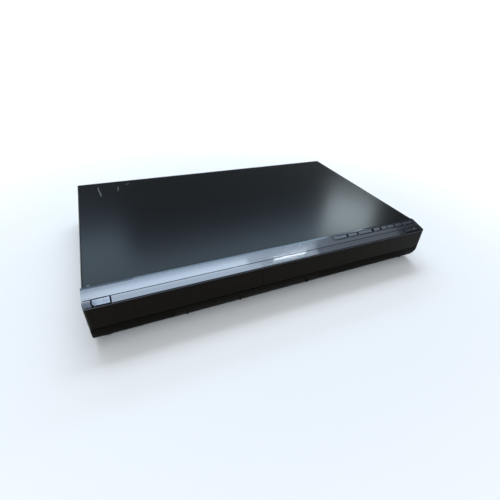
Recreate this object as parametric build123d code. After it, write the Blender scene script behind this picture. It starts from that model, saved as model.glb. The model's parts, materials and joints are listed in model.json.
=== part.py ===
from build123d import *
import math
import os

# A slim DVD and hard-disk recorder, built from its real pieces. All lengths are millimetres.
# +X points to the right seen from the front, +Y to the back, +Z up. The origin is on the table,
# under the middle of the recorder.
# While a piece is drawn, Y is measured from the seam between top cover and front panel;
# save() moves it to the recorder's own frame.

# Whole recorder
WIDTH = 430.0
HEIGHT = 59.0
PANEL_DEPTH = 26.2
COVER_DEPTH = 252.0
CONNECTOR_REACH = 7.8
DEPTH = PANEL_DEPTH + COVER_DEPTH + CONNECTOR_REACH
SEAM_Y = PANEL_DEPTH - DEPTH / 2
PANEL_EDGE_X = WIDTH / 2

# Sheet metal
COVER_SHEET = 0.8
COVER_EDGE_X = 214.3
COVER_BOTTOM_Z = 7.2
COVER_BEND = 2.0
COVER_LIP_Z = 51.6
CHASSIS_SHEET = 1.0
FLOOR_Z = 7.0
FLOOR_TOP_Z = FLOOR_Z + CHASSIS_SHEET
CHASSIS_EDGE_X = 212.6
CHASSIS_FRONT_Y = 3.0
REAR_FACE_Y = COVER_DEPTH - COVER_SHEET
REAR_INNER_Y = REAR_FACE_Y - CHASSIS_SHEET
TIP_Y = COVER_DEPTH + CONNECTOR_REACH
SIDE_SCREWS = ((32.0, 15.0), (222.0, 15.0))
REAR_SCREW_X = (-150.0, 0.0, 150.0)
REAR_SCREW_Z = 55.0
SCREW_SHAFT = 1.4
SCREW_FIT = 0.05
SCREW_HEAD = 3.0
VENT_WIDTH = 3.0
VENT_PITCH = 8
BEYOND = 250.0

# Sides of the regular prisms that stand for round details, by size. Axles and the sockets that a
# plug fits are truly round.
POST_SIDES = 6
SMALL_SIDES = 8
MIDDLE_SIDES = 10
LARGE_SIDES = 18
DISC_SIDES = 40

# Front panel section: flat top, sloping band, nose, gloss face, curved lower strip
WALL = 2.2
TOP_FLAT = 3.0
SLOPE_TOP_Z = 58.8
SLOPE_DEG = 12.6
TRIM_START_Y = -16.0
TRIM_THICK = 1.6
NOSE_Y = -26.0
NOSE_RADIUS = 0.9
GLOSS_THICK = 2.3
GLOSS_FRONT_Y = -PANEL_DEPTH
GLOSS_BACK_Y = GLOSS_FRONT_Y + GLOSS_THICK
GLOSS_BOTTOM_Z = 27.3
GLOSS_TOP_Z = 52.1
GLOSS_EDGE = 0.4
STRIP_TOP = (-26.0, 26.8)
STRIP_MIDDLE = (-23.1, 17.3)
STRIP_END = (-18.3, 8.7)
PANEL_BOTTOM_Z = 5.5
PANEL_BOTTOM_Y = 12.0
STRIP_TOE_Y = -12.1
CORNER_RADIUS = 4.0

# Tongue under the cover, opening behind the display window, and the bottom's rear edge
TONGUE = ((-205.0, 205.0), (-2.0, 5.0), (56.3, 57.9))
BOTTOM_HALF = PANEL_EDGE_X - 3.0
WINDOW_HOLE_X = (60.0, 165.0)
WINDOW_HOLE_Z = (30.0, 50.0)

# Tray front and the gloss plates beside it
TRAY_FRONT_X = (-171.5, -34.5)
PLATE_GAP = 0.4

# Jack flap and the pocket behind it
FLAP_X = (-134.6, 46.0)
FLAP_TOP_Z = 26.3
FLAP_GAP = 0.4
FLAP_THICK = 2.0
HINGE_Y = -16.2
HINGE_Z = 9.3
HINGE_BARREL = 2.2
HINGE_PIN = 0.9
HINGE_CLEARANCE = 0.05
PIN_LENGTH = 3.0
BOSS = 4.5
POCKET_BACK_Y = -12.0
POCKET_ROOF_Z = 26.1
POCKET_WALL = 1.6
JACK_Z = 17.0
FRONT_JACK_X = (-112.0, -96.0, -80.0)
USB_X = -40.0
USB_HALF = (6.9, 3.2)
CARD_X = 8.0
CARD_HALF = (13.5, 2.2)
SHELL_THICK = 0.6

# Board behind the front jacks
BOARD = 1.6
JACK_BOARD_Z = (9.2, 9.2 + BOARD)

# Display behind the window
DISPLAY_X = (64.0, 161.0)
DISPLAY_Y = (-20.0, -13.6)
DISPLAY_Z = (31.5, 48.0)
DISPLAY_BOARD_Y = -12.9

# Buttons: travel is along the slope's normal
KEY_LIMITS_X = (
    (72.4, 93.0),
    (95.7, 110.1),
    (112.4, 134.6),
    (138.5, 148.7),
    (151.6, 161.6),
    (163.2, 174.1),
    (176.6, 188.9),
    (191.1, 209.6),
)
KEY_V = (-6.6, -1.1)
KEY_GAP = 0.3
KEY_PROUD = 0.5
KEY_DEPTH = 3.0
POWER_X = (-206.5, -191.0)
POWER_V = (-22.0, -14.35)
OPEN_X = (184.0, 208.0)
OPEN_V = (-20.2, -14.4)
BUTTON_PROUD = 0.35
BUTTON_DEPTH = 1.0
BUTTON_CORE_DEPTH = 3.6
BUTTON_STEM_BACK = 0.2
SWITCH_BOARD_W = -13.6
SWITCH_HEIGHT = 3.5
PLUNGER_HEIGHT = 0.6
SWITCH_GAP = 0.7

# Disc drive
DRIVE_X = -103.0
DRIVE_HALF = 73.0
DRIVE_FRONT_Y = 5.0
DRIVE_BACK_Y = 178.0
DRIVE_FLOOR_Z = 12.0
DRIVE_WALL = 2.0
DRIVE_TOP_Z = 51.2
DRIVE_SHEET = 0.8
DISC_Y = 45.0
DISC_RADIUS = 60.0
TRAY_HALF = 64.5
TRAY_FRONT_Y = -22.0
TRAY_BACK_Y = 166.0
TRAY_TOP_Z = 43.2
TRAY_UNDER_Z = 39.1
TRAY_RAIL_Z = 35.4
RAIL_WIDTH = 2.4
RECESS_DEPTH = 1.9
SMALL_DISC_RADIUS = 40.0
SMALL_RECESS = 0.8
TRAY_TRAVEL = 134.0
GEAR_TEETH = 12
GEAR_MODULE = 1.5
GEAR_Y = 15.5
RACK_PITCH_X = -154.0
PRESSURE_DEG = 20.0
BACKLASH = 0.2
ADDENDUM = 0.7
DEDENDUM = 0.95
GEAR_X = RACK_PITCH_X + GEAR_TEETH * GEAR_MODULE / 2
GEAR_Z = (35.9, 38.7)
GEAR_POST = 1.6
GEAR_SLEEVE = 3.4
PULLEY_RADIUS = 7.0
PULLEY_Z = (20.0, 24.0)
PULLEY_FLANGE = 1.3
BELT_SIDE = 1.2
BELT_Z = (21.4, 21.4 + BELT_SIDE)
BELT_CLEARANCE = 0.03
MOTOR_X = GEAR_X + 32.0
MOTOR_PULLEY_RADIUS = 2.5
MOTOR_PULLEY_Z = (20.4, 23.6)
MOTOR_SHAFT = 0.75
MOTOR_CAN_RADIUS = 6.0
MOTOR_CAN_TOP_Z = 19.6
CLAMP_HUB = 12.0
CLAMP_FLANGE = 15.5
CLAMP_BOTTOM_Z = 46.6
TRAVERSE_Z = (16.0, 18.0)
TRAVERSE_HALF = 49.0
TRAVERSE_Y = (DISC_Y - 22.0, DISC_Y + 86.0)
ROD_X = 27.0
ROD_Y = (DISC_Y - 4.0, DISC_Y + 82.0)
ROD_Z = 26.0
ROD_RADIUS = 1.5
ROD_HOLDER = 4.0
SPINDLE_RADIUS = 1.0
TURNTABLE_RADIUS = 14.5
TURNTABLE_Z = (27.0, 30.5)
PICKUP_Y = (DISC_Y + 17.0, DISC_Y + 37.0)

# Hard disk, 3.5 inch size
DISK_X = (88.0, 189.6)
DISK_Y = (12.0, 159.0)
DISK_Z = (27.0, 53.1)

# Boards on the chassis
BOARD_Z = 14.0
BOARD_TOP_Z = BOARD_Z + BOARD
MAIN_BOARD_X = (-16.0, 206.0)
MAIN_BOARD_Y = (100.0, 246.0)
SUPPLY_X = (-206.0, -66.0)
SUPPLY_Y = (184.0, 246.0)
TRANSFORMER_AT = (-120.0, 214.0)
POWER_SINKS_AT = ((-140.0, 188.0), (-91.0, 204.0))

# Capacitors as (X, Y, radius, height) and chips as (X, Y, half side, height)
CAPACITORS = (
    (-162.0, 200.0, 11.0, 32.0),
    (-162.0, 234.0, 5.0, 20.0),
    (-148.0, 236.0, 5.0, 20.0),
    (-78.0, 232.0, 5.0, 20.0),
    (-92.0, 193.0, 6.5, 25.0),
    (-76.0, 193.0, 5.0, 20.0),
)
CHIPS = (
    (66.0, 190.0, 14.0, 2.4),
    (20.0, 160.0, 10.0, 1.6),
    (20.0, 190.0, 8.0, 1.6),
    (104.0, 205.0, 6.0, 1.4),
    (40.0, 130.0, 9.0, 1.6),
    (130.0, 190.0, 8.0, 1.6),
)

# Rear connectors, X and Z of their centres
FAN_X = -40.0
FAN_Z = 33.0
FAN_SIDE = 40.0
FAN_DEPTH = 15.0
PHONO_X = (4.0, 20.0, 36.0)
PHONO_Z = (21.5, 38.5)
PHONO_RADIUS = 4.15
PHONO_BORE = 1.75
PHONO_BORE_DEPTH = 7.0
REAR_JACK_REACH = 7.6
FRONT_JACK_REACH = 6.0
JACK_BLOCK = 5.4
JACK_BLOCK_GAP = 0.3
COLLAR_PROUD = 0.8
HDMI_CENTRE = (62.0, 20.0)
OPTICAL_CENTRE = (62.0, 38.0)
NETWORK_CENTRE = (84.0, 23.4)
SOCKET_21_X = 128.0
SOCKET_21_Z = (24.2, 42.2)
SOCKET_21_FACE = COVER_DEPTH + 1.0
SOCKET_21_BACK = 234.0
SOCKET_21_HALF = (24.2, 7.8)
AERIAL_X = 186.0
AERIAL_Z = (21.0, 43.0)
AERIAL_RADIUS = 4.75
AERIAL_COLLAR = 6.4
INLET_X = -186.0
INLET_Z = 26.0

# Feet, as (X, Y, top Z)
FOOT_RADIUS = 12.0
FEET = (
    (-202.0, -1.0, PANEL_BOTTOM_Z),
    (202.0, -1.0, PANEL_BOTTOM_Z),
    (-192.0, 225.0, FLOOR_Z),
    (192.0, 225.0, FLOOR_Z),
)
PAD_RADIUS = 9.0
PAD_THICK = 1.2

SLOPE_SIN = math.sin(math.radians(SLOPE_DEG))
SLOPE_COS = math.cos(math.radians(SLOPE_DEG))
SLOPE_PLANE = Plane(
    origin=(0, -TOP_FLAT, SLOPE_TOP_Z), x_dir=(1, 0, 0), z_dir=(0, -SLOPE_SIN, SLOPE_COS)
)
SLOPE_AXIS = Axis((0, 0, 0), SLOPE_PLANE.z_dir)


def middle(limits):
    """Middle of a low and high limit."""
    return (limits[0] + limits[1]) / 2


def grown(limits, by):
    """The same limits, moved apart by a distance at each end."""
    return (limits[0] - by, limits[1] + by)


def block(x, y, z):
    """Straight-sided box between its limits on each axis."""
    size = (x[1] - x[0], y[1] - y[0], z[1] - z[0])
    return Pos(middle(x), middle(y), middle(z)) * Box(*size)


def rod(radius, start, end):
    """Round bar from one point to another."""
    along = Vector(*end) - Vector(*start)
    return Solid.make_cylinder(radius, along.length, Plane(origin=start, z_dir=along))


def bar(radius, start, end, sides):
    """Bar of regular section that stays within a radius, from one point to another."""
    along = Vector(*end) - Vector(*start)
    section = Plane(origin=start, z_dir=along) * RegularPolygon(radius, sides)
    return extrude(section, amount=along.length, dir=along)


def bore(radius, start, end, sides):
    """Bar of regular section that stays outside a radius, to cut a hole with."""
    along = Vector(*end) - Vector(*start)
    outline = RegularPolygon(radius, sides, major_radius=False)
    return extrude(Plane(origin=start, z_dir=along) * outline, amount=along.length, dir=along)


def prism_z(points, z):
    """Outline in X and Y, drawn out between two Z limits."""
    face = make_face(Plane.XY.offset(z[0]) * Polyline(*points, close=True))
    return extrude(face, amount=z[1] - z[0], dir=(0, 0, 1))


def prism_y(points, x, z, y):
    """Outline in X and Z about a centre, drawn out between two Y limits."""
    face = make_face(Plane.XZ.offset(-y[0]) * Pos(x, z) * Polyline(*points, close=True))
    return extrude(face, amount=y[1] - y[0], dir=(0, 1, 0))


def joined(pieces):
    """One solid from touching or overlapping pieces."""
    first, *rest = pieces
    return first.fuse(*rest) if rest else first


def slope_z(y):
    """Height of the sloping band above the table."""
    return SLOPE_TOP_Z + (y + TOP_FLAT) * math.tan(math.radians(SLOPE_DEG))


def slope_block(x, v, w):
    """Box in the slope's own plane: v runs up the slope to the back, w out of it."""
    sketch = Pos(middle(x), middle(v)) * Rectangle(x[1] - x[0], v[1] - v[0])
    return extrude(SLOPE_PLANE.offset(w[0]) * sketch, amount=w[1] - w[0])


def circle_through(a, b, c):
    """Centre and radius of the circle through three points of a plane."""
    (ax, ay), (bx, by), (cx, cy) = a, b, c
    twice = 2 * (ax * (by - cy) + bx * (cy - ay) + cx * (ay - by))
    aa, bb, cc = ax * ax + ay * ay, bx * bx + by * by, cx * cx + cy * cy
    x = (aa * (by - cy) + bb * (cy - ay) + cc * (ay - by)) / twice
    y = (aa * (cx - bx) + bb * (ax - cx) + cc * (bx - ax)) / twice
    return (x, y), math.hypot(ax - x, ay - y)


STRIP_CENTRE, STRIP_RADIUS = circle_through(STRIP_TOP, STRIP_MIDDLE, STRIP_END)


def strip_point(z, inset=0.0):
    """Point of the lower strip's curve at a height, as (y, z), inset behind the surface."""
    radius = STRIP_RADIUS - inset
    return (STRIP_CENTRE[0] - math.sqrt(radius**2 - (z - STRIP_CENTRE[1]) ** 2), z)


def strip_arc(z_top, z_bottom, inset=0.0):
    """Arc of the lower strip between two heights."""
    return ThreePointArc(
        strip_point(z_top, inset),
        strip_point((z_top + z_bottom) / 2, inset),
        strip_point(z_bottom, inset),
    )


# Front panel group


def plan_corner():
    """Plan of the front panel with its rounded front corners, as a tall prism to trim pieces by."""
    back = 40.0
    plan = Pos(0, (back - PANEL_DEPTH) / 2) * Rectangle(WIDTH, back + PANEL_DEPTH)
    plan = fillet(plan.vertices().group_by(Axis.Y)[0], CORNER_RADIUS)
    return extrude(plan, amount=HEIGHT)


def panel_section():
    """Closed outline of the front panel's outside, without the trim and the gloss plates."""
    toe = (STRIP_TOE_Y, PANEL_BOTTOM_Z)
    upper = Polyline(
        (0, SLOPE_TOP_Z + 0.1),
        (-TOP_FLAT, SLOPE_TOP_Z),
        (TRIM_START_Y, slope_z(TRIM_START_Y)),
        (TRIM_START_Y, slope_z(TRIM_START_Y) - TRIM_THICK),
        (GLOSS_BACK_Y, slope_z(GLOSS_BACK_Y) - TRIM_THICK),
        (GLOSS_BACK_Y, STRIP_TOP[1]),
        STRIP_TOP,
    )
    strip = ThreePointArc(STRIP_TOP, STRIP_MIDDLE, STRIP_END)
    heading = (STRIP_CENTRE[1] - STRIP_END[1], STRIP_END[0] - STRIP_CENTRE[0])
    lower = TangentArc(STRIP_END, toe, tangent=heading)
    back = Polyline(toe, (0, PANEL_BOTTOM_Z), (0, SLOPE_TOP_Z + 0.1))
    return make_face(Plane.YZ * (upper + strip + lower + back))


def panel_hollow():
    """Outline of the hollow inside the front panel's walls."""
    inner_y = GLOSS_BACK_Y + WALL
    roof = TRIM_THICK + WALL
    strip_low = 10.2
    strip_high = 25.0
    upper = Polyline(
        (1.0, SLOPE_TOP_Z - WALL),
        (-TOP_FLAT, SLOPE_TOP_Z - WALL),
        (TRIM_START_Y + WALL, slope_z(TRIM_START_Y + WALL) - WALL),
        (TRIM_START_Y + WALL, slope_z(TRIM_START_Y + WALL) - roof),
        (inner_y, slope_z(inner_y) - roof),
        (inner_y, strip_high),
        strip_point(strip_high, WALL),
    )
    lower = Polyline(
        strip_point(strip_low, WALL),
        (STRIP_TOE_Y, PANEL_BOTTOM_Z + POCKET_WALL),
        (1.0, PANEL_BOTTOM_Z + POCKET_WALL),
        (1.0, SLOPE_TOP_Z - WALL),
    )
    return make_face(Plane.YZ * (upper + strip_arc(strip_high, strip_low, WALL) + lower))


def flap_section(grow=0.0):
    """Outline of the jack flap: curved plate with a round hinge barrel along its foot."""
    top = FLAP_TOP_Z + grow
    plate = make_face(
        strip_arc(top, HINGE_Z)
        + Line(strip_point(HINGE_Z), strip_point(HINGE_Z, FLAP_THICK + grow))
        + strip_arc(top, HINGE_Z, FLAP_THICK + grow)
        + Line(strip_point(top, FLAP_THICK + grow), strip_point(top))
    )
    barrel = Pos(HINGE_Y, HINGE_Z) * RegularPolygon(HINGE_BARREL + grow, MIDDLE_SIDES)
    return Plane.YZ * (plate + barrel)


def jack_pocket():
    """Walls of the pocket behind the flap: back, roof and two sides."""
    floor = PANEL_BOTTOM_Z + POCKET_WALL / 2
    x = grown(FLAP_X, FLAP_GAP)
    outside = block(
        grown(x, POCKET_WALL),
        (GLOSS_BACK_Y + WALL / 2, POCKET_BACK_Y + POCKET_WALL),
        (floor, POCKET_ROOF_Z + POCKET_WALL),
    )
    inside = block(x, (GLOSS_BACK_Y - WALL, POCKET_BACK_Y), (floor - 1, POCKET_ROOF_Z))
    return outside - inside


def jack_holes():
    """Openings in the pocket's back wall for the jacks, the USB socket and the card slot."""
    y = (POCKET_BACK_Y - 1, POCKET_BACK_Y + POCKET_WALL + 1)
    half = JACK_BLOCK + JACK_BLOCK_GAP
    holes = [block(grown((x, x), half), y, grown((JACK_Z, JACK_Z), half)) for x in FRONT_JACK_X]
    for x, (half_x, half_z) in ((USB_X, USB_HALF), (CARD_X, CARD_HALF)):
        beside = half_x + JACK_BLOCK_GAP
        above = half_z + JACK_BLOCK_GAP
        holes.append(block(grown((x, x), beside), y, grown((JACK_Z, JACK_Z), above)))
    return holes


def button_holes():
    """Holes through the sloping band for the keys and the cores of the two larger buttons."""
    depth = (-8.0, 1.0)
    holes = [slope_block(grown(x, KEY_GAP), grown(KEY_V, KEY_GAP), depth) for x in KEY_LIMITS_X]
    for x, v in ((POWER_X, POWER_V), (OPEN_X, OPEN_V)):
        holes.append(slope_block(grown(x, -1.6), grown(v, -1.6), depth))
    return holes


def front_panel():
    """Main moulding of the front: sloping band, end walls, lower strip and bottom."""
    section = panel_section()
    shell = extrude(section - panel_hollow(), amount=PANEL_EDGE_X, both=True)
    ends = extrude(section, amount=PANEL_EDGE_X, both=True)
    ends -= block(grown((-PANEL_EDGE_X, PANEL_EDGE_X), -WALL), (-40, 40), (0, HEIGHT + 1))
    bottom_x = (-BOTTOM_HALF, BOTTOM_HALF)
    bottom = block(bottom_x, (-WALL, PANEL_BOTTOM_Y), (PANEL_BOTTOM_Z, FLOOR_Z))
    tongue = block(*TONGUE)
    bosses = [
        bar(HINGE_BARREL, (x, HINGE_Y, HINGE_Z), (x + side * BOSS, HINGE_Y, HINGE_Z), MIDDLE_SIDES)
        for x, side in ((FLAP_X[0] - FLAP_GAP, -1), (FLAP_X[1] + FLAP_GAP, 1))
    ]
    pocket = jack_pocket() & extrude(section, amount=PANEL_EDGE_X, both=True)
    moulding = (shell + ends + bottom + tongue + pocket + bosses) & plan_corner()

    flap_x = grown(FLAP_X, FLAP_GAP)
    moulding -= extrude(
        Pos(flap_x[0], 0, 0) * flap_section(FLAP_GAP), amount=flap_x[1] - flap_x[0]
    )
    moulding -= block(flap_x, (GLOSS_FRONT_Y, POCKET_BACK_Y), (HINGE_Z, FLAP_TOP_Z - 0.2))
    for x, side in ((FLAP_X[0], -1), (FLAP_X[1], 1)):
        reach = x + side * (PIN_LENGTH + FLAP_GAP)
        ends = (x, HINGE_Y, HINGE_Z), (reach, HINGE_Y, HINGE_Z)
        moulding -= bore(HINGE_PIN + HINGE_CLEARANCE, *ends, SMALL_SIDES)
    moulding -= block(
        grown(TRAY_FRONT_X, -1.5), (GLOSS_FRONT_Y, -15), (GLOSS_BOTTOM_Z + 1, GLOSS_TOP_Z - 1)
    )
    moulding -= block(WINDOW_HOLE_X, (GLOSS_FRONT_Y, GLOSS_BACK_Y + 2 * WALL), WINDOW_HOLE_Z)
    for hole in jack_holes() + button_holes():
        moulding -= hole
    return moulding


def nose_trim():
    """Lower band of the slope and the nose, with the holes of the power and open buttons."""
    start = TRIM_START_Y - 0.25
    under = slope_z(GLOSS_BACK_Y) - TRIM_THICK
    section = make_face(
        Plane.YZ
        * Polyline(
            (start, slope_z(start)),
            (NOSE_Y, slope_z(NOSE_Y)),
            (NOSE_Y, under),
            (GLOSS_BACK_Y, under),
            (start, slope_z(start) - TRIM_THICK),
            close=True,
        )
    )
    section = fillet(section.vertices().group_by(Axis.Y)[0].sort_by(Axis.Z)[-1], NOSE_RADIUS)
    trim = extrude(section, amount=PANEL_EDGE_X, both=True) & plan_corner()
    for x, v in ((POWER_X, POWER_V), (OPEN_X, OPEN_V)):
        trim -= slope_block(grown(x, PLATE_GAP), grown(v, PLATE_GAP), (-4, 2))
    return trim


def gloss_plate(x):
    """One of the gloss plates of the face, with eased front edges."""
    plate = block(x, (GLOSS_FRONT_Y, GLOSS_BACK_Y), (GLOSS_BOTTOM_Z, GLOSS_TOP_Z))
    long_edges = plate.edges().filter_by(Axis.X).group_by(Axis.Y)[0]
    plate = chamfer(long_edges, GLOSS_EDGE)
    return plate & plan_corner()


def tray_front():
    """Gloss front of the tray, with the frame behind it that clips to the tray."""
    inset = 2.4
    frame_x = grown(TRAY_FRONT_X, -inset)
    frame_z = (GLOSS_BOTTOM_Z + inset, GLOSS_TOP_Z - inset)
    frame_y = (GLOSS_BACK_Y - 0.5, TRAY_FRONT_Y)
    frame = block(frame_x, frame_y, frame_z)
    frame -= block(grown(frame_x, -2), grown(frame_y, 1), grown(frame_z, -2))
    middle_bar = block(frame_x, frame_y, (TRAY_RAIL_Z, TRAY_TOP_Z))
    return gloss_plate(TRAY_FRONT_X) + frame + middle_bar


def jack_flap():
    """Drop-down flap of the lower strip, turning on a pin at each end of its foot."""
    plate = extrude(Pos(FLAP_X[0], 0, 0) * flap_section(), amount=FLAP_X[1] - FLAP_X[0])
    pins = rod(
        HINGE_PIN,
        (FLAP_X[0] - PIN_LENGTH, HINGE_Y, HINGE_Z),
        (FLAP_X[1] + PIN_LENGTH, HINGE_Y, HINGE_Z),
    )
    ribs = [
        block((x - 0.6, x + 0.6), (strip_point(20)[0] + 0.6, strip_point(20)[0] + 3.2), (12, 24))
        for x in (-122.0, -60.0, 30.0)
    ]
    return joined([plate + pins] + ribs)


def top_key(x):
    """Small key of the upper band: cap with eased corners and rim, retaining flange and stem."""
    cap = slope_block(x, KEY_V, (-KEY_DEPTH, KEY_PROUD))
    cap = chamfer(cap.edges().filter_by(SLOPE_AXIS), 0.5)
    cap = chamfer(cap.faces().sort_by(SLOPE_AXIS)[-1].edges(), 0.3)
    flange = slope_block(grown(x, 0.3), grown(KEY_V, 1.0), (-KEY_DEPTH - 0.8, -KEY_DEPTH + 0.1))
    return cap + flange + stem(middle(x), middle(KEY_V), -KEY_DEPTH)


def stem(x, v, top):
    """Stem that reaches from a button down to just above its switch."""
    bottom = SWITCH_BOARD_W + BOARD + SWITCH_HEIGHT + PLUNGER_HEIGHT + SWITCH_GAP
    return slope_block((x - 1.2, x + 1.2), (v - 1.0, v + 1.0), (bottom, top))


def large_button(x, v, corner_radius):
    """Button of the nose trim: thin cap with one rounder corner, core and stem."""
    cap = slope_block(x, v, (-BUTTON_DEPTH, BUTTON_PROUD))
    upright = cap.edges().filter_by(SLOPE_AXIS)
    by_place = upright.sort_by(lambda edge: (edge @ 0.5).X + (edge @ 0.5).Y)
    cap = fillet(by_place[0], corner_radius)
    cap = chamfer(cap.faces().sort_by(SLOPE_AXIS)[-1].edges(), 0.25)
    core = slope_block(grown(x, -2.0), grown(v, -2.0), (-BUTTON_CORE_DEPTH, -BUTTON_DEPTH))
    return cap + core + stem(middle(x), middle(v) + BUTTON_STEM_BACK, -BUTTON_CORE_DEPTH)


def switch_board(x, v):
    """Strip of circuit board parallel to the slope."""
    return slope_block(x, v, (SWITCH_BOARD_W, SWITCH_BOARD_W + BOARD))


def key_boards():
    """Boards under the keys: a long one at the right, a short one under the power button."""
    right = switch_board((66.0, 211.5), (-12.5, 1.5))
    right_tab = switch_board((178.0, 211.5), (-20.5, -12.0))
    return [right + right_tab, switch_board((-211.5, -182.0), (-21.0, -9.0))]


def tact_switch(x, v):
    """Square switch with its square plunger."""
    base = SWITCH_BOARD_W + BOARD
    top = base + SWITCH_HEIGHT
    body = slope_block(grown((x, x), 3.0), grown((v, v), 3.0), (base, top))
    return body + slope_block(grown((x, x), 1.6), grown((v, v), 1.6), (top, top + PLUNGER_HEIGHT))


def key_switches():
    """One switch under each key and button."""
    places = [(middle(x), middle(KEY_V)) for x in KEY_LIMITS_X]
    places += [
        (middle(x), middle(v) + BUTTON_STEM_BACK) for x, v in ((POWER_X, POWER_V), (OPEN_X, OPEN_V))
    ]
    return [tact_switch(x, v) for x, v in places]


# Display behind the window


def display_tube():
    """Flat glass display tube with its sealed-off tip."""
    tube = block(DISPLAY_X, DISPLAY_Y, DISPLAY_Z)
    tube = chamfer(tube.edges().filter_by(Axis.Z), 0.6)
    ends = (DISPLAY_X[1] - 0.2, -16.5, 35.0), (DISPLAY_X[1] + 3.0, -16.5, 35.0)
    tip = bar(1.6, *ends, SMALL_SIDES)
    return tube + tip


def display_board():
    """Upright board that carries the display tube, with the tube's support frame."""
    y = (DISPLAY_BOARD_Y, DISPLAY_BOARD_Y + BOARD)
    board = block((56.0, 208.0), y, (10.0, 41.0))
    frame_y = (DISPLAY_Y[1], DISPLAY_BOARD_Y)
    frame = block(grown(DISPLAY_X, -4), frame_y, (DISPLAY_Z[0] + 1, 41.0))
    socket = block((58.0, 76.0), (y[1], y[1] + 3.0), (12.0, 17.0))
    return board + frame + socket


# Front jacks behind the flap


def phono_barrel(x, z, face_y, reach):
    """Bored barrel of a phono jack, standing on its block's face. A reach under 0 is forward."""
    tip = face_y + reach
    beyond = math.copysign(1.0, reach)
    barrel = rod(PHONO_RADIUS, (x, face_y, z), (x, tip, z))
    bottom = (x, tip - beyond * PHONO_BORE_DEPTH, z)
    return barrel - bore(PHONO_BORE, bottom, (x, tip + beyond, z), POST_SIDES)


def front_jacks():
    """Three phono jacks behind the flap, each on its own block."""
    face_y = POCKET_BACK_Y - 0.2
    y = (face_y, face_y + 12.8)
    jacks = []
    for x in FRONT_JACK_X:
        body = block(grown((x, x), JACK_BLOCK), y, grown((JACK_Z, JACK_Z), JACK_BLOCK))
        foot_block = block((x - 4, x + 4), grown(y, -2), (JACK_BOARD_Z[1], JACK_Z - JACK_BLOCK))
        jacks.append(body + foot_block + phono_barrel(x, JACK_Z, face_y, -FRONT_JACK_REACH))
    return jacks


def usb_socket():
    """USB socket: metal shell with its tongue."""
    y = (POCKET_BACK_Y - SHELL_THICK, 3.0)
    x = grown((USB_X, USB_X), USB_HALF[0])
    z = grown((JACK_Z, JACK_Z), USB_HALF[1])
    mouth = block(grown(x, -SHELL_THICK), (y[0] - 1, -1.0), grown(z, -SHELL_THICK))
    tongue = block(grown(x, -1.3), (y[0] + 1.0, 0.0), (JACK_Z + 0.5, JACK_Z + 2.3))
    foot_block = block(x, (-9.0, y[1]), (JACK_BOARD_Z[1], z[0] + 0.1))
    return (block(x, y, z) - mouth) + tongue + foot_block


def card_slot():
    """Memory card slot: flat metal box with a slot open to the front."""
    y = (POCKET_BACK_Y - SHELL_THICK, 3.0)
    x = grown((CARD_X, CARD_X), CARD_HALF[0])
    z = grown((JACK_Z, JACK_Z), CARD_HALF[1])
    mouth = block(grown(x, -1.4), (y[0] - 1, 1.5), grown(z, -0.9))
    foot_block = block(x, (-9.0, y[1]), (JACK_BOARD_Z[1], z[0] + 0.1))
    return (block(x, y, z) - mouth) + foot_block


def jack_board():
    """Board that carries the front jacks."""
    return block((-122.0, 30.0), (POCKET_BACK_Y + POCKET_WALL + 0.2, 4.0), JACK_BOARD_Z)


# Casing


def cover_profile(inset):
    """Outline of the cover's bent sheet seen from the front, inset behind its surface."""
    edge = COVER_EDGE_X - inset
    outline = Pos(0, (HEIGHT - inset) / 2) * Rectangle(2 * edge, HEIGHT - inset)
    upper = outline.vertices().group_by(Axis.Y)[-1]
    return fillet(upper, COVER_BEND - inset)


def top_cover():
    """Bent sheet: top, both sides and the lip over the rear panel, with side vents."""
    front = Plane.XZ
    outer = extrude(front * cover_profile(0), amount=-COVER_DEPTH)
    inner = extrude(front * cover_profile(COVER_SHEET), amount=-COVER_DEPTH)
    cover = outer - inner
    cover -= block((-BEYOND, BEYOND), (-1, COVER_DEPTH + 1), (-1, COVER_BOTTOM_Z))
    lip = extrude(front * cover_profile(COVER_SHEET / 2), amount=-COVER_DEPTH)
    lip &= block((-BEYOND, BEYOND), (REAR_FACE_Y, COVER_DEPTH), (COVER_LIP_Z, HEIGHT))
    cover += lip
    slots = [
        block((-BEYOND, BEYOND), (y, y + VENT_WIDTH), (24.0, 44.0))
        for y in range(176, 216, VENT_PITCH)
    ]
    clear = SCREW_SHAFT + 0.1
    holes = [bore(clear, (-BEYOND, y, z), (BEYOND, y, z), POST_SIDES) for y, z in SIDE_SCREWS]
    holes += [
        bore(clear, (x, REAR_FACE_Y - 1, REAR_SCREW_Z), (x, TIP_Y, REAR_SCREW_Z), POST_SIDES)
        for x in REAR_SCREW_X
    ]
    return cover - slots - holes


def board_posts():
    """Raised pads of the chassis under the boards, as (x, y)."""
    main = [(x, y) for x in grown(MAIN_BOARD_X, -6) for y in grown(MAIN_BOARD_Y, -6)]
    supply = [(x, y) for x in grown(SUPPLY_X, -6) for y in grown(SUPPLY_Y, -6)]
    return main + supply


def drive_posts():
    """Raised pads of the chassis under the disc drive, as (x, y)."""
    return [(DRIVE_X + x, y) for x in (-66.0, 66.0) for y in (24.0, 160.0)]


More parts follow.
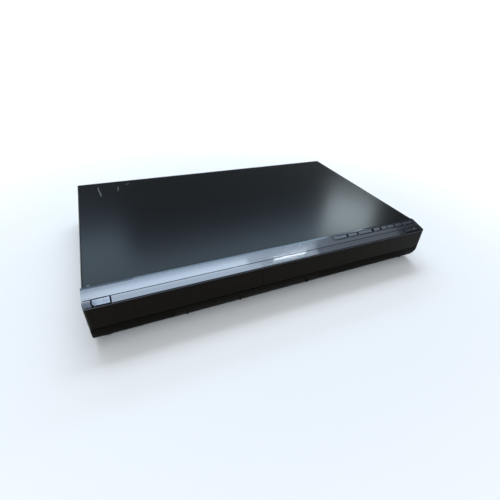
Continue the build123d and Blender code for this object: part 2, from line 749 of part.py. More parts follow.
def chassis_base():
    """Folded steel tray: floor, side and front upstands, stamped ribs, pads and vents."""
    floor = block(
        (-CHASSIS_EDGE_X, CHASSIS_EDGE_X), (CHASSIS_FRONT_Y, REAR_INNER_Y), (FLOOR_Z, FLOOR_TOP_Z)
    )
    sides = [
        block(
            sorted((side * CHASSIS_EDGE_X, side * (CHASSIS_EDGE_X - CHASSIS_SHEET))),
            (14.0, REAR_INNER_Y),
            (FLOOR_Z, 24.0),
        )
        for side in (-1, 1)
    ]
    lip = block((-205.0, 205.0), (CHASSIS_FRONT_Y + 1.5, CHASSIS_FRONT_Y + 2.5), (FLOOR_Z, 11.5))
    ribs = [
        block((-30.0, 60.0), (y, y + 8.0), (FLOOR_TOP_Z - 0.5, FLOOR_TOP_Z + 1.2))
        for y in (30.0, 60.0)
    ]
    posts = [bar(4.0, (x, y, FLOOR_Z), (x, y, BOARD_Z), POST_SIDES) for x, y in board_posts()]
    posts += [
        bar(5.5, (x, y, FLOOR_Z), (x, y, DRIVE_FLOOR_Z), POST_SIDES) for x, y in drive_posts()
    ]
    base = joined([floor, lip] + sides + ribs + posts)
    through = (FLOOR_Z - 1, FLOOR_TOP_Z + 1)
    vents = [
        block((x, x + VENT_WIDTH), y, through)
        for y in ((30.0, 60.0), (110.0, 140.0))
        for x in range(120, 160, VENT_PITCH)
    ]
    vents += [
        block((x, x + VENT_WIDTH), (195.0, 225.0), through) for x in range(-140, -108, VENT_PITCH)
    ]
    holes = [bore(SCREW_SHAFT, (-BEYOND, y, z), (BEYOND, y, z), POST_SIDES) for y, z in SIDE_SCREWS]
    holes += [bore(SCREW_SHAFT, (x, y, 0), (x, y, BOARD_Z), POST_SIDES) for x, y in drive_posts()]
    return base - vents - holes


def fan_grille():
    """Slots of the rear panel in front of the fan, each as long as its circle is wide there."""
    slots = []
    for level in (-15.0, -10.0, -5.0, 0.0, 5.0, 10.0, 15.0):
        half = math.sqrt(19.0**2 - (abs(level) + 1.6) ** 2)
        slots.append(socket_hole(FAN_X, FAN_Z + level, half, 1.6))
    return slots


def socket_hole(x, z, half_width, half_height):
    """Straight opening of the rear panel round a socket."""
    y = (REAR_INNER_Y - 1, REAR_FACE_Y + 1)
    return block((x - half_width, x + half_width), y, (z - half_height, z + half_height))


def rear_panel():
    """Rear sheet with its folded ends, fan grille, vents and socket openings."""
    edge = CHASSIS_EDGE_X - CHASSIS_SHEET - 0.1
    top = HEIGHT - 1.0
    panel = block((-CHASSIS_EDGE_X, CHASSIS_EDGE_X), (REAR_INNER_Y, REAR_FACE_Y), (FLOOR_Z, top))
    folds = [
        block(
            sorted((side * edge, side * (edge - CHASSIS_SHEET))),
            (REAR_INNER_Y - 12.0, REAR_FACE_Y),
            (FLOOR_TOP_Z + 1, top),
        )
        for side in (-1, 1)
    ]
    panel = joined([panel] + folds)
    y = (REAR_INNER_Y - 1, REAR_FACE_Y + 1)
    jack_half = JACK_BLOCK + JACK_BLOCK_GAP
    holes = [block(grown((x, x), jack_half), y, grown(PHONO_Z, jack_half)) for x in PHONO_X]
    holes += [
        bore(AERIAL_COLLAR + 0.2, (AERIAL_X, y[0], z), (AERIAL_X, y[1], z), SMALL_SIDES)
        for z in AERIAL_Z
    ]
    holes += [
        bore(SCREW_SHAFT, (x, y[0], REAR_SCREW_Z), (x, y[1], REAR_SCREW_Z), POST_SIDES)
        for x in REAR_SCREW_X
    ]
    holes.append(socket_hole(*HDMI_CENTRE, 7.8, 3.3))
    holes.append(socket_hole(*OPTICAL_CENTRE, 5.2, 5.2))
    holes.append(socket_hole(*NETWORK_CENTRE, 8.2, 7.2))
    half_x, half_z = SOCKET_21_HALF
    holes += [socket_hole(SOCKET_21_X, z, half_x + 0.4, half_z + 0.4) for z in SOCKET_21_Z]
    holes.append(socket_hole(INLET_X, INLET_Z, 12.4, 8.4))
    holes += [socket_hole(x, 33.0, 1.5, 11.0) for x in range(-138, -90, VENT_PITCH)]
    return panel - holes - fan_grille()


def foot(x, y, top):
    """Round foot, wider at its top, with a flat seat for its pad."""
    section = RegularPolygon(FOOT_RADIUS - 1.0, LARGE_SIDES, rotation=180 / LARGE_SIDES)
    return Pos(x, y, PAD_THICK) * extrude(section, amount=top - PAD_THICK, taper=-8)


def foot_pads():
    """Soft pads that the recorder rests on."""
    return [bar(PAD_RADIUS, (x, y, 0), (x, y, PAD_THICK), MIDDLE_SIDES) for x, y, _ in FEET]


def screw(head, end, head_radius, head_height):
    """Low-headed screw from the underside of its head to its end."""
    outward = (Vector(*head) - Vector(*end)).normalized()
    top = Vector(*head) + outward * head_height
    cap = bar(head_radius, head, tuple(top), SMALL_SIDES)
    return cap + bar(SCREW_SHAFT - SCREW_FIT, head, end, POST_SIDES)


def cover_screws():
    """Screws of the side walls and the rear lip."""
    low_head = 0.65
    screws = []
    for y, z in SIDE_SCREWS:
        for side in (-1, 1):
            head = (side * COVER_EDGE_X, y, z)
            screws.append(screw(head, (side * 207.0, y, z), SCREW_HEAD + 0.4, low_head))
    for x in REAR_SCREW_X:
        head = (x, COVER_DEPTH, REAR_SCREW_Z)
        screws.append(screw(head, (x, 243.0, REAR_SCREW_Z), SCREW_HEAD, 1.8))
    return screws


def base_screws():
    """Screws under the floor that hold the drive."""
    return [
        screw((x, y, FLOOR_Z), (x, y, DRIVE_FLOOR_Z - 0.2), SCREW_HEAD, 1.6)
        for x, y in drive_posts()
    ]


# Disc drive


def rack_tooth(y):
    """One tooth of the tray's rack from root to root, as points in X and Y."""
    flank = math.tan(math.radians(PRESSURE_DEG))
    half = math.pi * GEAR_MODULE / 4 - BACKLASH / 2
    root_x = RACK_PITCH_X - DEDENDUM * GEAR_MODULE
    tip_x = RACK_PITCH_X + ADDENDUM * GEAR_MODULE
    root = half + DEDENDUM * GEAR_MODULE * flank
    tip = half - ADDENDUM * GEAR_MODULE * flank
    return [(root_x, y - root), (tip_x, y - tip), (tip_x, y + tip), (root_x, y + root)]


def tray_rack():
    """Toothed rack under the tray's deck."""
    pitch = math.pi * GEAR_MODULE
    root_x = RACK_PITCH_X - DEDENDUM * GEAR_MODULE
    first = GEAR_Y - 1.5 * pitch
    count = math.ceil(TRAY_TRAVEL / pitch) + 3
    spine_x = root_x - 2.0
    outline = [(spine_x, first - pitch), (root_x, first - pitch)]
    for index in range(count):
        outline += rack_tooth(first + index * pitch)
    outline += [(root_x, TRAY_BACK_Y), (spine_x, TRAY_BACK_Y)]
    return prism_z(outline, (TRAY_RAIL_Z + 0.3, TRAY_UNDER_Z + 0.2))


def involute_point(base_radius, radius, start_angle):
    """Point of an involute at a radius, with the curve leaving its base circle at an angle."""
    roll = math.sqrt(max(radius**2 - base_radius**2, 0.0)) / base_radius
    angle = start_angle + roll - math.atan(roll)
    return (radius * math.cos(angle), radius * math.sin(angle))


def gear_outline():
    """Outline of the loading gear, with a tooth pointing along +X."""
    pitch_radius = GEAR_TEETH * GEAR_MODULE / 2
    pressure = math.radians(PRESSURE_DEG)
    base = pitch_radius * math.cos(pressure)
    root = pitch_radius - DEDENDUM * GEAR_MODULE
    tip = pitch_radius + ADDENDUM * GEAR_MODULE
    half_tooth = (math.pi * GEAR_MODULE / 2 - BACKLASH) / 2 / pitch_radius
    start = -half_tooth - (math.tan(pressure) - pressure)
    flank_steps = 2
    radii = [base + (tip - base) * step / flank_steps for step in range(flank_steps + 1)]
    lower = [(root * math.cos(start), root * math.sin(start))]
    lower += [involute_point(base, radius, start) for radius in radii]
    upper = [(x, -y) for x, y in reversed(lower)]
    tooth = lower + upper
    points = []
    for index in range(GEAR_TEETH):
        turn = 2 * math.pi * index / GEAR_TEETH
        cos, sin = math.cos(turn), math.sin(turn)
        points += [(x * cos - y * sin, x * sin + y * cos) for x, y in tooth]
    return points


def grooved_pulley(x, y, radius, z):
    """Pulley whose groove holds the belt."""
    rim = radius + PULLEY_FLANGE
    groove_z = grown(BELT_Z, 0.2)
    wheel = bar(rim, (x, y, z[0]), (x, y, z[1]), LARGE_SIDES)
    groove = bore(rim + 1, (x, y, groove_z[0]), (x, y, groove_z[1]), POST_SIDES)
    groove -= bar(radius, (x, y, z[0]), (x, y, z[1]), LARGE_SIDES)
    return wheel - groove


def loading_gear():
    """Gear that drives the tray, in one piece with its belt pulley."""
    gear = Pos(GEAR_X, GEAR_Y, 0) * prism_z(gear_outline(), GEAR_Z)
    ends = (GEAR_X, GEAR_Y, PULLEY_Z[1]), (GEAR_X, GEAR_Y, GEAR_Z[0])
    sleeve = bar(GEAR_SLEEVE, *ends, MIDDLE_SIDES)
    pulley = grooved_pulley(GEAR_X, GEAR_Y, PULLEY_RADIUS, PULLEY_Z)
    ends = (GEAR_X, GEAR_Y, PULLEY_Z[0] - 1), (GEAR_X, GEAR_Y, GEAR_Z[1] + 1)
    return gear + sleeve + pulley - bore(GEAR_POST + 0.05, *ends, MIDDLE_SIDES)


def motor_pulley():
    """Small pulley on the loading motor's shaft."""
    pulley = grooved_pulley(MOTOR_X, GEAR_Y, MOTOR_PULLEY_RADIUS, MOTOR_PULLEY_Z)
    top = MOTOR_PULLEY_Z[1] - 0.8
    ends = (MOTOR_X, GEAR_Y, 0), (MOTOR_X, GEAR_Y, top)
    return pulley - bore(MOTOR_SHAFT + 0.05, *ends, MIDDLE_SIDES)


def loading_motor():
    """Loading motor with its shaft."""
    bottom = DRIVE_FLOOR_Z + DRIVE_WALL
    ends = (MOTOR_X, GEAR_Y, bottom), (MOTOR_X, GEAR_Y, MOTOR_CAN_TOP_Z)
    shaft_top = MOTOR_PULLEY_Z[1] - 1.0
    shaft = rod(MOTOR_SHAFT, ends[1], (MOTOR_X, GEAR_Y, shaft_top))
    return bar(MOTOR_CAN_RADIUS, *ends, LARGE_SIDES) + shaft


def belt_loop(grow):
    """Outline round both pulleys, grown outwards."""
    wheels = ((GEAR_X, PULLEY_RADIUS), (MOTOR_X, MOTOR_PULLEY_RADIUS))
    edges = []
    for x, radius in wheels:
        wheel = RegularPolygon(radius + grow, LARGE_SIDES, major_radius=False)
        edges += (Pos(x, GEAR_Y) * wheel).edges()
    return make_hull(edges)


def loading_belt():
    """Square belt between the two pulleys."""
    ring = belt_loop(BELT_CLEARANCE + BELT_SIDE) - belt_loop(BELT_CLEARANCE)
    return extrude(Plane.XY.offset(BELT_Z[0]) * ring, amount=BELT_SIDE)


def disc_tray():
    """Disc tray: deck with two disc recesses, slot for the pickup, rails and rack."""
    x = (DRIVE_X - TRAY_HALF, DRIVE_X + TRAY_HALF)
    deck = block(x, (TRAY_FRONT_Y, TRAY_BACK_Y), (TRAY_UNDER_Z, TRAY_TOP_Z))
    rear = deck.edges().filter_by(Axis.Z).group_by(Axis.Y)[-1]
    deck = fillet(rear, 6.0)
    floor_z = TRAY_TOP_Z - RECESS_DEPTH
    above = HEIGHT
    low_z = floor_z - SMALL_RECESS
    for radius, z in ((DISC_RADIUS + 0.75, floor_z), (SMALL_DISC_RADIUS + 0.5, low_z)):
        deck -= bore(radius, (DRIVE_X, DISC_Y, z), (DRIVE_X, DISC_Y, above), DISC_SIDES)
    for side in (-1, 1):
        notch = (DRIVE_X + side * 50.0, DISC_Y - 42.0)
        deck -= bar(11.0, (*notch, floor_z), (*notch, above), LARGE_SIDES)
    slot = bore(18.6, (DRIVE_X, DISC_Y, 0), (DRIVE_X, DISC_Y, above), LARGE_SIDES)
    slot += block((DRIVE_X - 17, DRIVE_X + 17), (DISC_Y, DISC_Y + 48), (0, above))
    deck -= slot
    rails = [
        block(
            sorted((edge, edge - side * RAIL_WIDTH)),
            (TRAY_FRONT_Y, TRAY_BACK_Y - 8),
            (TRAY_RAIL_Z, TRAY_UNDER_Z + 0.2),
        )
        for edge, side in ((x[0], -1), (x[1], 1))
    ]
    cross = [
        block((DRIVE_X - 29, DRIVE_X + 55), (y, y + 1.6), (TRAY_RAIL_Z + 1.2, TRAY_UNDER_Z + 0.2))
        for y in (-14.0, 112.0, 150.0)
    ]
    return joined([deck] + rails + cross + [tray_rack()])


def drive_base():
    """Moulded frame of the disc drive: floor, walls, tray rails and the gear's post."""
    x = (DRIVE_X - DRIVE_HALF, DRIVE_X + DRIVE_HALF)
    y = (DRIVE_FRONT_Y, DRIVE_BACK_Y)
    frame = block(x, y, (DRIVE_FLOOR_Z, DRIVE_TOP_Z))
    frame -= block(grown(x, -DRIVE_WALL), grown(y, -DRIVE_WALL), (DRIVE_FLOOR_Z + DRIVE_WALL, 60))
    frame -= block(grown(x, -DRIVE_WALL), (y[0] - 1, y[0] + 5), (31.0, 60))
    frame -= block((DRIVE_X - 38, DRIVE_X + 38), (DISC_Y - 14, DISC_Y + 76), (0, 20))
    guide_y = (y[0] + 1, y[1] - 8)
    for edge, side in ((x[0], 1), (x[1], -1)):
        ledge_x = sorted((edge + side, edge + side * 11.5))
        guide_x = sorted((edge + side, edge + side * 8.2))
        lip_x = sorted((edge + side, edge + side * 10.5))
        frame += block(ledge_x, guide_y, (31.0, TRAY_RAIL_Z - 0.1))
        frame += block(guide_x, guide_y, (31.0, TRAY_TOP_Z + 2.3))
        frame += block(lip_x, guide_y, (TRAY_TOP_Z + 0.3, TRAY_TOP_Z + 2.3))
    for post_x, post_y in traverse_posts():
        foot_at = (post_x, post_y, DRIVE_FLOOR_Z + 1)
        frame += bar(4.0, foot_at, (post_x, post_y, TRAVERSE_Z[0]), POST_SIDES)
    root = (GEAR_X, GEAR_Y, DRIVE_FLOOR_Z + 1)
    shoulder = (GEAR_X, GEAR_Y, PULLEY_Z[0] - 0.1)
    frame += bar(GEAR_POST * 2, root, shoulder, MIDDLE_SIDES)
    return frame + rod(GEAR_POST, shoulder, (GEAR_X, GEAR_Y, TRAY_UNDER_Z - 0.2))


def drive_cover():
    """Steel lid of the drive, dished round the clamp."""
    x = (DRIVE_X - DRIVE_HALF, DRIVE_X + DRIVE_HALF)
    y = (DRIVE_FRONT_Y, DRIVE_BACK_Y)
    top = DRIVE_TOP_Z + DRIVE_SHEET
    lid = block(x, y, (DRIVE_TOP_Z, top))
    dish = (DRIVE_X, DISC_Y, DRIVE_TOP_Z - DRIVE_SHEET)
    lid += bar(19.0, dish, (DRIVE_X, DISC_Y, top), LARGE_SIDES)
    lid -= bar(18.2, (DRIVE_X, DISC_Y, DRIVE_TOP_Z), (DRIVE_X, DISC_Y, top + 1), LARGE_SIDES)
    lid -= bore(CLAMP_HUB + 0.6, (DRIVE_X, DISC_Y, 0), (DRIVE_X, DISC_Y, top), LARGE_SIDES)
    beads = [
        block((DRIVE_X - 55, DRIVE_X + 55), (y, y + 6), (top - 0.4, top + DRIVE_SHEET))
        for y in (90.0, 130.0)
    ]
    return joined([lid] + beads)


def disc_clamp():
    """Magnetic clamp that hangs loose in the lid by its flange."""
    seat = DRIVE_TOP_Z + 0.05
    hub = bar(CLAMP_HUB, (DRIVE_X, DISC_Y, CLAMP_BOTTOM_Z), (DRIVE_X, DISC_Y, seat), LARGE_SIDES)
    ends = (DRIVE_X, DISC_Y, seat), (DRIVE_X, DISC_Y, seat + 1.4)
    dimple = rod(2.0, (DRIVE_X, DISC_Y, 0), (DRIVE_X, DISC_Y, CLAMP_BOTTOM_Z + 1.4))
    return hub + bar(CLAMP_FLANGE, *ends, LARGE_SIDES) - dimple


def traverse_posts():
    """Places on the drive's floor where the traverse plate rests, as (x, y)."""
    return [(DRIVE_X + x, y) for x in (-45.0, 45.0) for y in (DISC_Y - 17.0, DISC_Y + 81.0)]


def traverse_base():
    """Plate that carries the spindle motor, the guide rods and the pickup."""
    plate = block((DRIVE_X - TRAVERSE_HALF, DRIVE_X + TRAVERSE_HALF), TRAVERSE_Y, TRAVERSE_Z)
    plate -= block((DRIVE_X - 20, DRIVE_X + 20), (DISC_Y + 20, DISC_Y + 76), (0, 30))
    holders = [
        block((DRIVE_X + x - 3, DRIVE_X + x + 3), (y, y + ROD_HOLDER), (17.0, 30.0))
        for x in (-ROD_X, ROD_X)
        for y in (ROD_Y[0], ROD_Y[1] - ROD_HOLDER)
    ]
    motor_top = (DRIVE_X, DISC_Y, 26.0)
    motor = bar(13.0, (DRIVE_X, DISC_Y, TRAVERSE_Z[1]), motor_top, LARGE_SIDES)
    shaft = rod(SPINDLE_RADIUS, motor_top, (DRIVE_X, DISC_Y, 32.0))
    return joined([plate, motor, shaft] + holders)


def guide_rods():
    """Two steel rods that the pickup slides on, held between the traverse's uprights."""
    low, high = grown(ROD_Y, -ROD_HOLDER)
    return [
        bar(ROD_RADIUS, (DRIVE_X + x, low, ROD_Z), (DRIVE_X + x, high, ROD_Z), MIDDLE_SIDES)
        for x in (-ROD_X, ROD_X)
    ]


def turntable():
    """Turntable with its rubber ring's step and centring cone."""
    low, high = TURNTABLE_Z
    disc = bar(TURNTABLE_RADIUS, (DRIVE_X, DISC_Y, low), (DRIVE_X, DISC_Y, high), LARGE_SIDES)
    cone = extrude(RegularPolygon(7.4, LARGE_SIDES), amount=3.6, taper=12)
    ends = (DRIVE_X, DISC_Y, 20.0), (DRIVE_X, DISC_Y, 32.4)
    hole = bore(SPINDLE_RADIUS + 0.05, *ends, MIDDLE_SIDES)
    return disc + Pos(DRIVE_X, DISC_Y, high) * cone - hole


def pickup_sled():
    """Pickup with its lens, at the inner end of its travel."""
    x = (DRIVE_X - 31.0, DRIVE_X + 31.0)
    body = block((DRIVE_X - 18, DRIVE_X + 18), PICKUP_Y, (19.5, 30.5))
    arms = block(x, grown(PICKUP_Y, -4), (ROD_Z - 3, ROD_Z + 3))
    guides = [
        bore(
            ROD_RADIUS + 0.05, (DRIVE_X + x, 0, ROD_Z), (DRIVE_X + x, 200, ROD_Z), MIDDLE_SIDES
        )
        for x in (-ROD_X, ROD_X)
    ]
    lens_y = PICKUP_Y[0] + 8.0
    lens = bar(3.5, (DRIVE_X, lens_y, 30.5), (DRIVE_X, lens_y, 32.2), MIDDLE_SIDES)
    well = bar(2.6, (DRIVE_X, lens_y, 31.6), (DRIVE_X, lens_y, 33.0), MIDDLE_SIDES)
    return body + arms + lens - well - guides


# Hard disk


def hard_disk():
    """Sealed 3.5 inch hard disk: cast case with stepped lid, board side down."""
    case = block(DISK_X, DISK_Y, (DISK_Z[0], DISK_Z[1] - 1.6))
    case = chamfer(case.edges().filter_by(Axis.Z), 2.0)
    lid = block(grown(DISK_X, -2.5), grown(DISK_Y, -2.5), (DISK_Z[1] - 2.0, DISK_Z[1]))
    lid = chamfer(lid.edges().filter_by(Axis.Z), 6.0)
    hub_at = (middle(DISK_X), DISK_Y[1] - 52.0)
    hub = bar(12.0, (*hub_at, DISK_Z[1]), (*hub_at, DISK_Z[1] + 0.5), LARGE_SIDES)
    plug = block((DISK_X[0] + 12, DISK_X[0] + 50), (DISK_Y[1] - 1, DISK_Y[1] + 3), (28.0, 36.0))
    return joined([case, lid, hub, plug])


def disk_bracket():
    """Steel cradle that carries the hard disk over the floor."""
    x = grown(DISK_X, 2.0)
    deck = block(grown(x, 1.0), (10.0, 98.0), (24.0, 25.0))
    deck -= block(grown(DISK_X, -18), (26.0, 80.0), (20.0, 30.0))
    sides = [
        block(sorted((edge, edge + side)), (10.0, 98.0), (FLOOR_TOP_Z, 40.0))
        for edge, side in ((x[0], -1.0), (x[1], 1.0))
    ]
    windows = [block((DISK_X[0] - 5, DISK_X[1] + 5), (26.0, 82.0), (FLOOR_TOP_Z - 1, 22.0))]
    tabs = [
        block(sorted((edge, edge + side * 10)), y, (FLOOR_TOP_Z, FLOOR_TOP_Z + 1.0))
        for edge, side in ((x[0], -1.0), (x[1], 1.0))
        for y in ((10.0, 26.0), (82.0, 98.0))
    ]
    return joined([deck] + sides) - windows + tabs


def disk_mounts():
    """Rubber bushes between the hard disk and its cradle."""
    return [
        bar(4.5, (x, y, 33.0), (x + side * 2.0, y, 33.0), MIDDLE_SIDES)
        for x, side in ((DISK_X[0], -1), (DISK_X[1], 1))
        for y in (28.0, 88.0)
    ]


# Boards inside


def supply_board():
    """Power supply board."""
    return block(SUPPLY_X, SUPPLY_Y, (BOARD_Z, BOARD_TOP_Z))


def transformer():
    """Switching transformer: ferrite core round its bobbin."""
    x, y = TRANSFORMER_AT
    core = block((x - 16, x + 16), (y - 12, y + 12), (BOARD_TOP_Z, BOARD_TOP_Z + 5))
    core += block((x - 16, x + 16), (y - 12, y + 12), (BOARD_TOP_Z + 21, BOARD_TOP_Z + 26))
    core += block((x - 16, x - 11), (y - 12, y + 12), (BOARD_TOP_Z, BOARD_TOP_Z + 26))
    core += block((x + 11, x + 16), (y - 12, y + 12), (BOARD_TOP_Z, BOARD_TOP_Z + 26))
    bobbin = (x, y, BOARD_TOP_Z + 5), (x, y, BOARD_TOP_Z + 21)
    return core + bar(10.5, *bobbin, MIDDLE_SIDES)


def capacitors():
    """Smoothing capacitors of the power supply."""
    return [
        bar(radius, (x, y, BOARD_TOP_Z), (x, y, BOARD_TOP_Z + height), MIDDLE_SIDES)
        for x, y, radius, height in CAPACITORS
    ]


def heat_sink(x, y):
    """Finned heat sink standing on the board: spine with fins on one side."""
    z = (BOARD_TOP_Z, BOARD_TOP_Z + 30)
    spine = block((x, x + 3), (y, y + 30), z)
    fins = [block((x - 8, x + 0.5), (y + i * 7, y + i * 7 + 1.6), z) for i in range(5)]
    return joined([spine] + fins)


def heat_sinks():
    """Heat sinks of the power supply and of the largest chip."""
    return [heat_sink(*place) for place in POWER_SINKS_AT] + [chip_heat_sink()]


def mains_inlet():
    """Two-pin mains inlet with its figure-of-eight recess."""
    x = (INLET_X - 12.0, INLET_X + 12.0)
    z = (INLET_Z - 8.0, INLET_Z + 8.0)
    body = block(x, (228.0, COVER_DEPTH + 0.6), z)
    flange = block(grown(x, 2.0), (REAR_INNER_Y - 2.0, REAR_INNER_Y), grown(z, 2.0))
    body += flange
    mouth = chamfer(Rectangle(16.6, 9.4).vertices(), 2.8)
    mouth = Plane.XZ.offset(-238.6) * Pos(INLET_X, INLET_Z) * mouth
    body -= extrude(mouth, amount=15.0, dir=(0, 1, 0))
    pins = [
        bar(1.2, (x, 238.6, INLET_Z), (x, 249.0, INLET_Z), SMALL_SIDES)
        for x in (INLET_X - 4.3, INLET_X + 4.3)
    ]
    foot_block = block(x, (228.0, 245.0), (BOARD_TOP_Z, z[0] + 0.5))
    return joined([body, foot_block] + pins)


def main_board():
    """Main board with the socket of the front ribbon."""
    board = block(MAIN_BOARD_X, MAIN_BOARD_Y, (BOARD_Z, BOARD_TOP_Z))
    return board + block((57.0, 77.0), (101.0, 107.0), (BOARD_TOP_Z, BOARD_TOP_Z + 3.4))


def board_chips():
    """Chip packages on the main board."""
    return [
        block((x - half, x + half), (y - half, y + half), (BOARD_TOP_Z, BOARD_TOP_Z + height))
        for x, y, half, height in CHIPS
    ]


def chip_heat_sink():
    """Finned heat sink on the largest chip."""
    x, y, _, height = CHIPS[0]
    foot_z = BOARD_TOP_Z + height
    base = block((x - 15, x + 15), (y - 15, y + 15), (foot_z, foot_z + 2.5))
    fins = [
        block((x - 15 + i * 5.6, x - 13 + i * 5.6), (y - 15, y + 15), (foot_z + 2, foot_z + 12))
        for i in range(6)
    ]
    return joined([base] + fins)


def fan_frame():
    """Square frame of the fan with its round duct, hub and spokes."""
    half = FAN_SIDE / 2
    y = (REAR_INNER_Y - FAN_DEPTH, REAR_INNER_Y)
    frame = block((FAN_X - half, FAN_X + half), y, (FAN_Z - half, FAN_Z + half))
    frame = chamfer(frame.edges().filter_by(Axis.Y), 2.0)
    frame -= bore(18.4, (FAN_X, y[0] - 1, FAN_Z), (FAN_X, y[1] + 1, FAN_Z), LARGE_SIDES)
    hub = bar(9.0, (FAN_X, y[0], FAN_Z), (FAN_X, y[0] + 2.0, FAN_Z), MIDDLE_SIDES)
    spokes = [
        Pos(FAN_X, y[0] + 1.0, FAN_Z) * Rot(0, angle, 0) * Pos(0, 0, 14.0) * Box(2.0, 2.0, 10.4)
        for angle in (45, 165, 285)
    ]
    pin = rod(1.0, (FAN_X, y[0] + 2, FAN_Z), (FAN_X, y[0] + 11, FAN_Z))
    return joined([frame, hub, pin] + spokes)


def fan_blade():
    """One pitched blade with a swept tip, drawn at the top of the wheel."""
    outline = [(-3.6, 8.0), (3.6, 8.0), (5.4, 15.6), (3.2, 17.2), (-4.0, 17.2), (-5.0, 15.6)]
    thick = 1.1
    plate = extrude(Plane.XZ * make_face(Polyline(*outline, close=True)), thick / 2, both=True)
    return Rot(0, 0, 38.0) * plate


def fan_rotor():
    """Seven-bladed rotor of the fan."""
    middle_y = REAR_INNER_Y - FAN_DEPTH / 2 + 0.8
    ends = (FAN_X, middle_y - 4.6, FAN_Z), (FAN_X, middle_y + 4.6, FAN_Z)
    hub = bar(9.0, *ends, LARGE_SIDES)
    blades = [
        Pos(FAN_X, middle_y, FAN_Z) * Rot(0, 360 * i / 7, 0) * fan_blade() for i in range(7)
    ]
    hole = bore(1.05, (FAN_X, 200, FAN_Z), (FAN_X, middle_y + 3.6, FAN_Z), MIDDLE_SIDES)
    return joined([hub] + blades) - hole


def rear_phono_jacks():
    """Six phono jacks in columns of two, each column one moulded block on the board."""
    face_y = REAR_FACE_Y + COLLAR_PROUD
    y = (REAR_INNER_Y - 12, face_y)
    columns = []
    for x in PHONO_X:
        body = block(grown((x, x), JACK_BLOCK), y, grown(PHONO_Z, JACK_BLOCK))
        foot_z = (BOARD_TOP_Z, PHONO_Z[0] - JACK_BLOCK)
        foot_block = block(grown((x, x), JACK_BLOCK), (y[0], REAR_INNER_Y - 2), foot_z)
        barrels = [phono_barrel(x, z, face_y, REAR_JACK_REACH) for z in PHONO_Z]
        columns.append(joined([body, foot_block] + barrels))
    return columns


def hdmi_socket():
    """Flat digital video socket: tapered metal shell with its tongue."""
    x, z = HDMI_CENTRE
    outline = [(-7.3, 2.9), (7.3, 2.9), (7.3, -0.6), (5.2, -2.9), (-5.2, -2.9), (-7.3, -0.6)]
    inner = [(-6.7, 2.3), (6.7, 2.3), (6.7, -0.4), (4.9, -2.3), (-4.9, -2.3), (-6.7, -0.4)]
    front_y = COVER_DEPTH + 0.2
    shell = prism_y(outline, x, z, (front_y - 14, front_y))
    mouth = prism_y(inner, x, z, (front_y - 10, front_y + 1))
    tongue = block((x - 5.6, x + 5.6), (front_y - 12, front_y - 1.5), (z - 0.2, z + 1.0))
    foot_block = block((x - 5, x + 5), (front_y - 14, front_y - 4), (BOARD_TOP_Z, z - 2.8))
    return shell - mouth + tongue + foot_block


def optical_socket():
    """Optical audio socket with its shutter closed, on a post behind the socket below it."""
    x, z = OPTICAL_CENTRE
    body = block((x - 4.9, x + 4.9), (226.0, COVER_DEPTH + 0.4), (z - 4.9, z + 4.9))
    window = block((x - 3.2, x + 3.2), (COVER_DEPTH - 0.8, COVER_DEPTH + 1), (z - 3.4, z + 2.6))
    post = block((x - 4.9, x + 4.9), (226.0, 235.0), (BOARD_TOP_Z, z - 4.5))
    return body - window + post


def network_socket():
    """Network socket with its stepped latch opening."""
    x, z = NETWORK_CENTRE
    body = block((x - 7.9, x + 7.9), (232.0, COVER_DEPTH + 0.2), (z - 6.9, z + 6.9))
    foot_block = block((x - 7.9, x + 7.9), (232.0, 244.0), (BOARD_TOP_Z, z - 6.8))
    mouth = block((x - 5.9, x + 5.9), (239.0, COVER_DEPTH + 1), (z - 4.2, z + 4.4))
    latch = block((x - 3.0, x + 3.0), (239.0, COVER_DEPTH + 1), (z - 5.8, z - 4.0))
    return body + foot_block - mouth - latch


def plug_outline(half_width, half_height, cut):
    """Outline of the 21-pin plug: a rectangle with one lower corner cut off."""
    return [
        (-half_width, half_height),
        (half_width, half_height),
        (half_width, cut - half_height),
        (half_width - cut, -half_height),
        (-half_width, -half_height),
    ]


def socket_21(z):
    """21-pin video socket: raised frame, plug groove and two long recesses for the contacts."""
    x = SOCKET_21_X
    half_x, half_z = SOCKET_21_HALF
    body = block(
        (x - half_x, x + half_x), (SOCKET_21_BACK, SOCKET_21_FACE), (z - half_z, z + half_z)
    )
    groove_y = (SOCKET_21_FACE - 7.0, SOCKET_21_FACE + 1)
    groove = prism_y(plug_outline(21.6, 6.0, 4.0), x, z, groove_y)
    groove -= prism_y(plug_outline(19.8, 4.2, 3.4), x, z, groove_y)
    slots = [
        block((x - 17.0, x + 17.0), groove_y, (z + row - 1.0, z + row + 1.0))
        for row in (-1.9, 1.9)
    ]
    return body - groove - slots


def sockets_21():
    """The two 21-pin sockets, one above the other on one moulded block."""
    web = block(
        (SOCKET_21_X - SOCKET_21_HALF[0], SOCKET_21_X + SOCKET_21_HALF[0]),
        (SOCKET_21_BACK, REAR_INNER_Y - 2),
        (BOARD_TOP_Z, SOCKET_21_Z[1]),
    )
    return joined([web] + [socket_21(z) for z in SOCKET_21_Z])


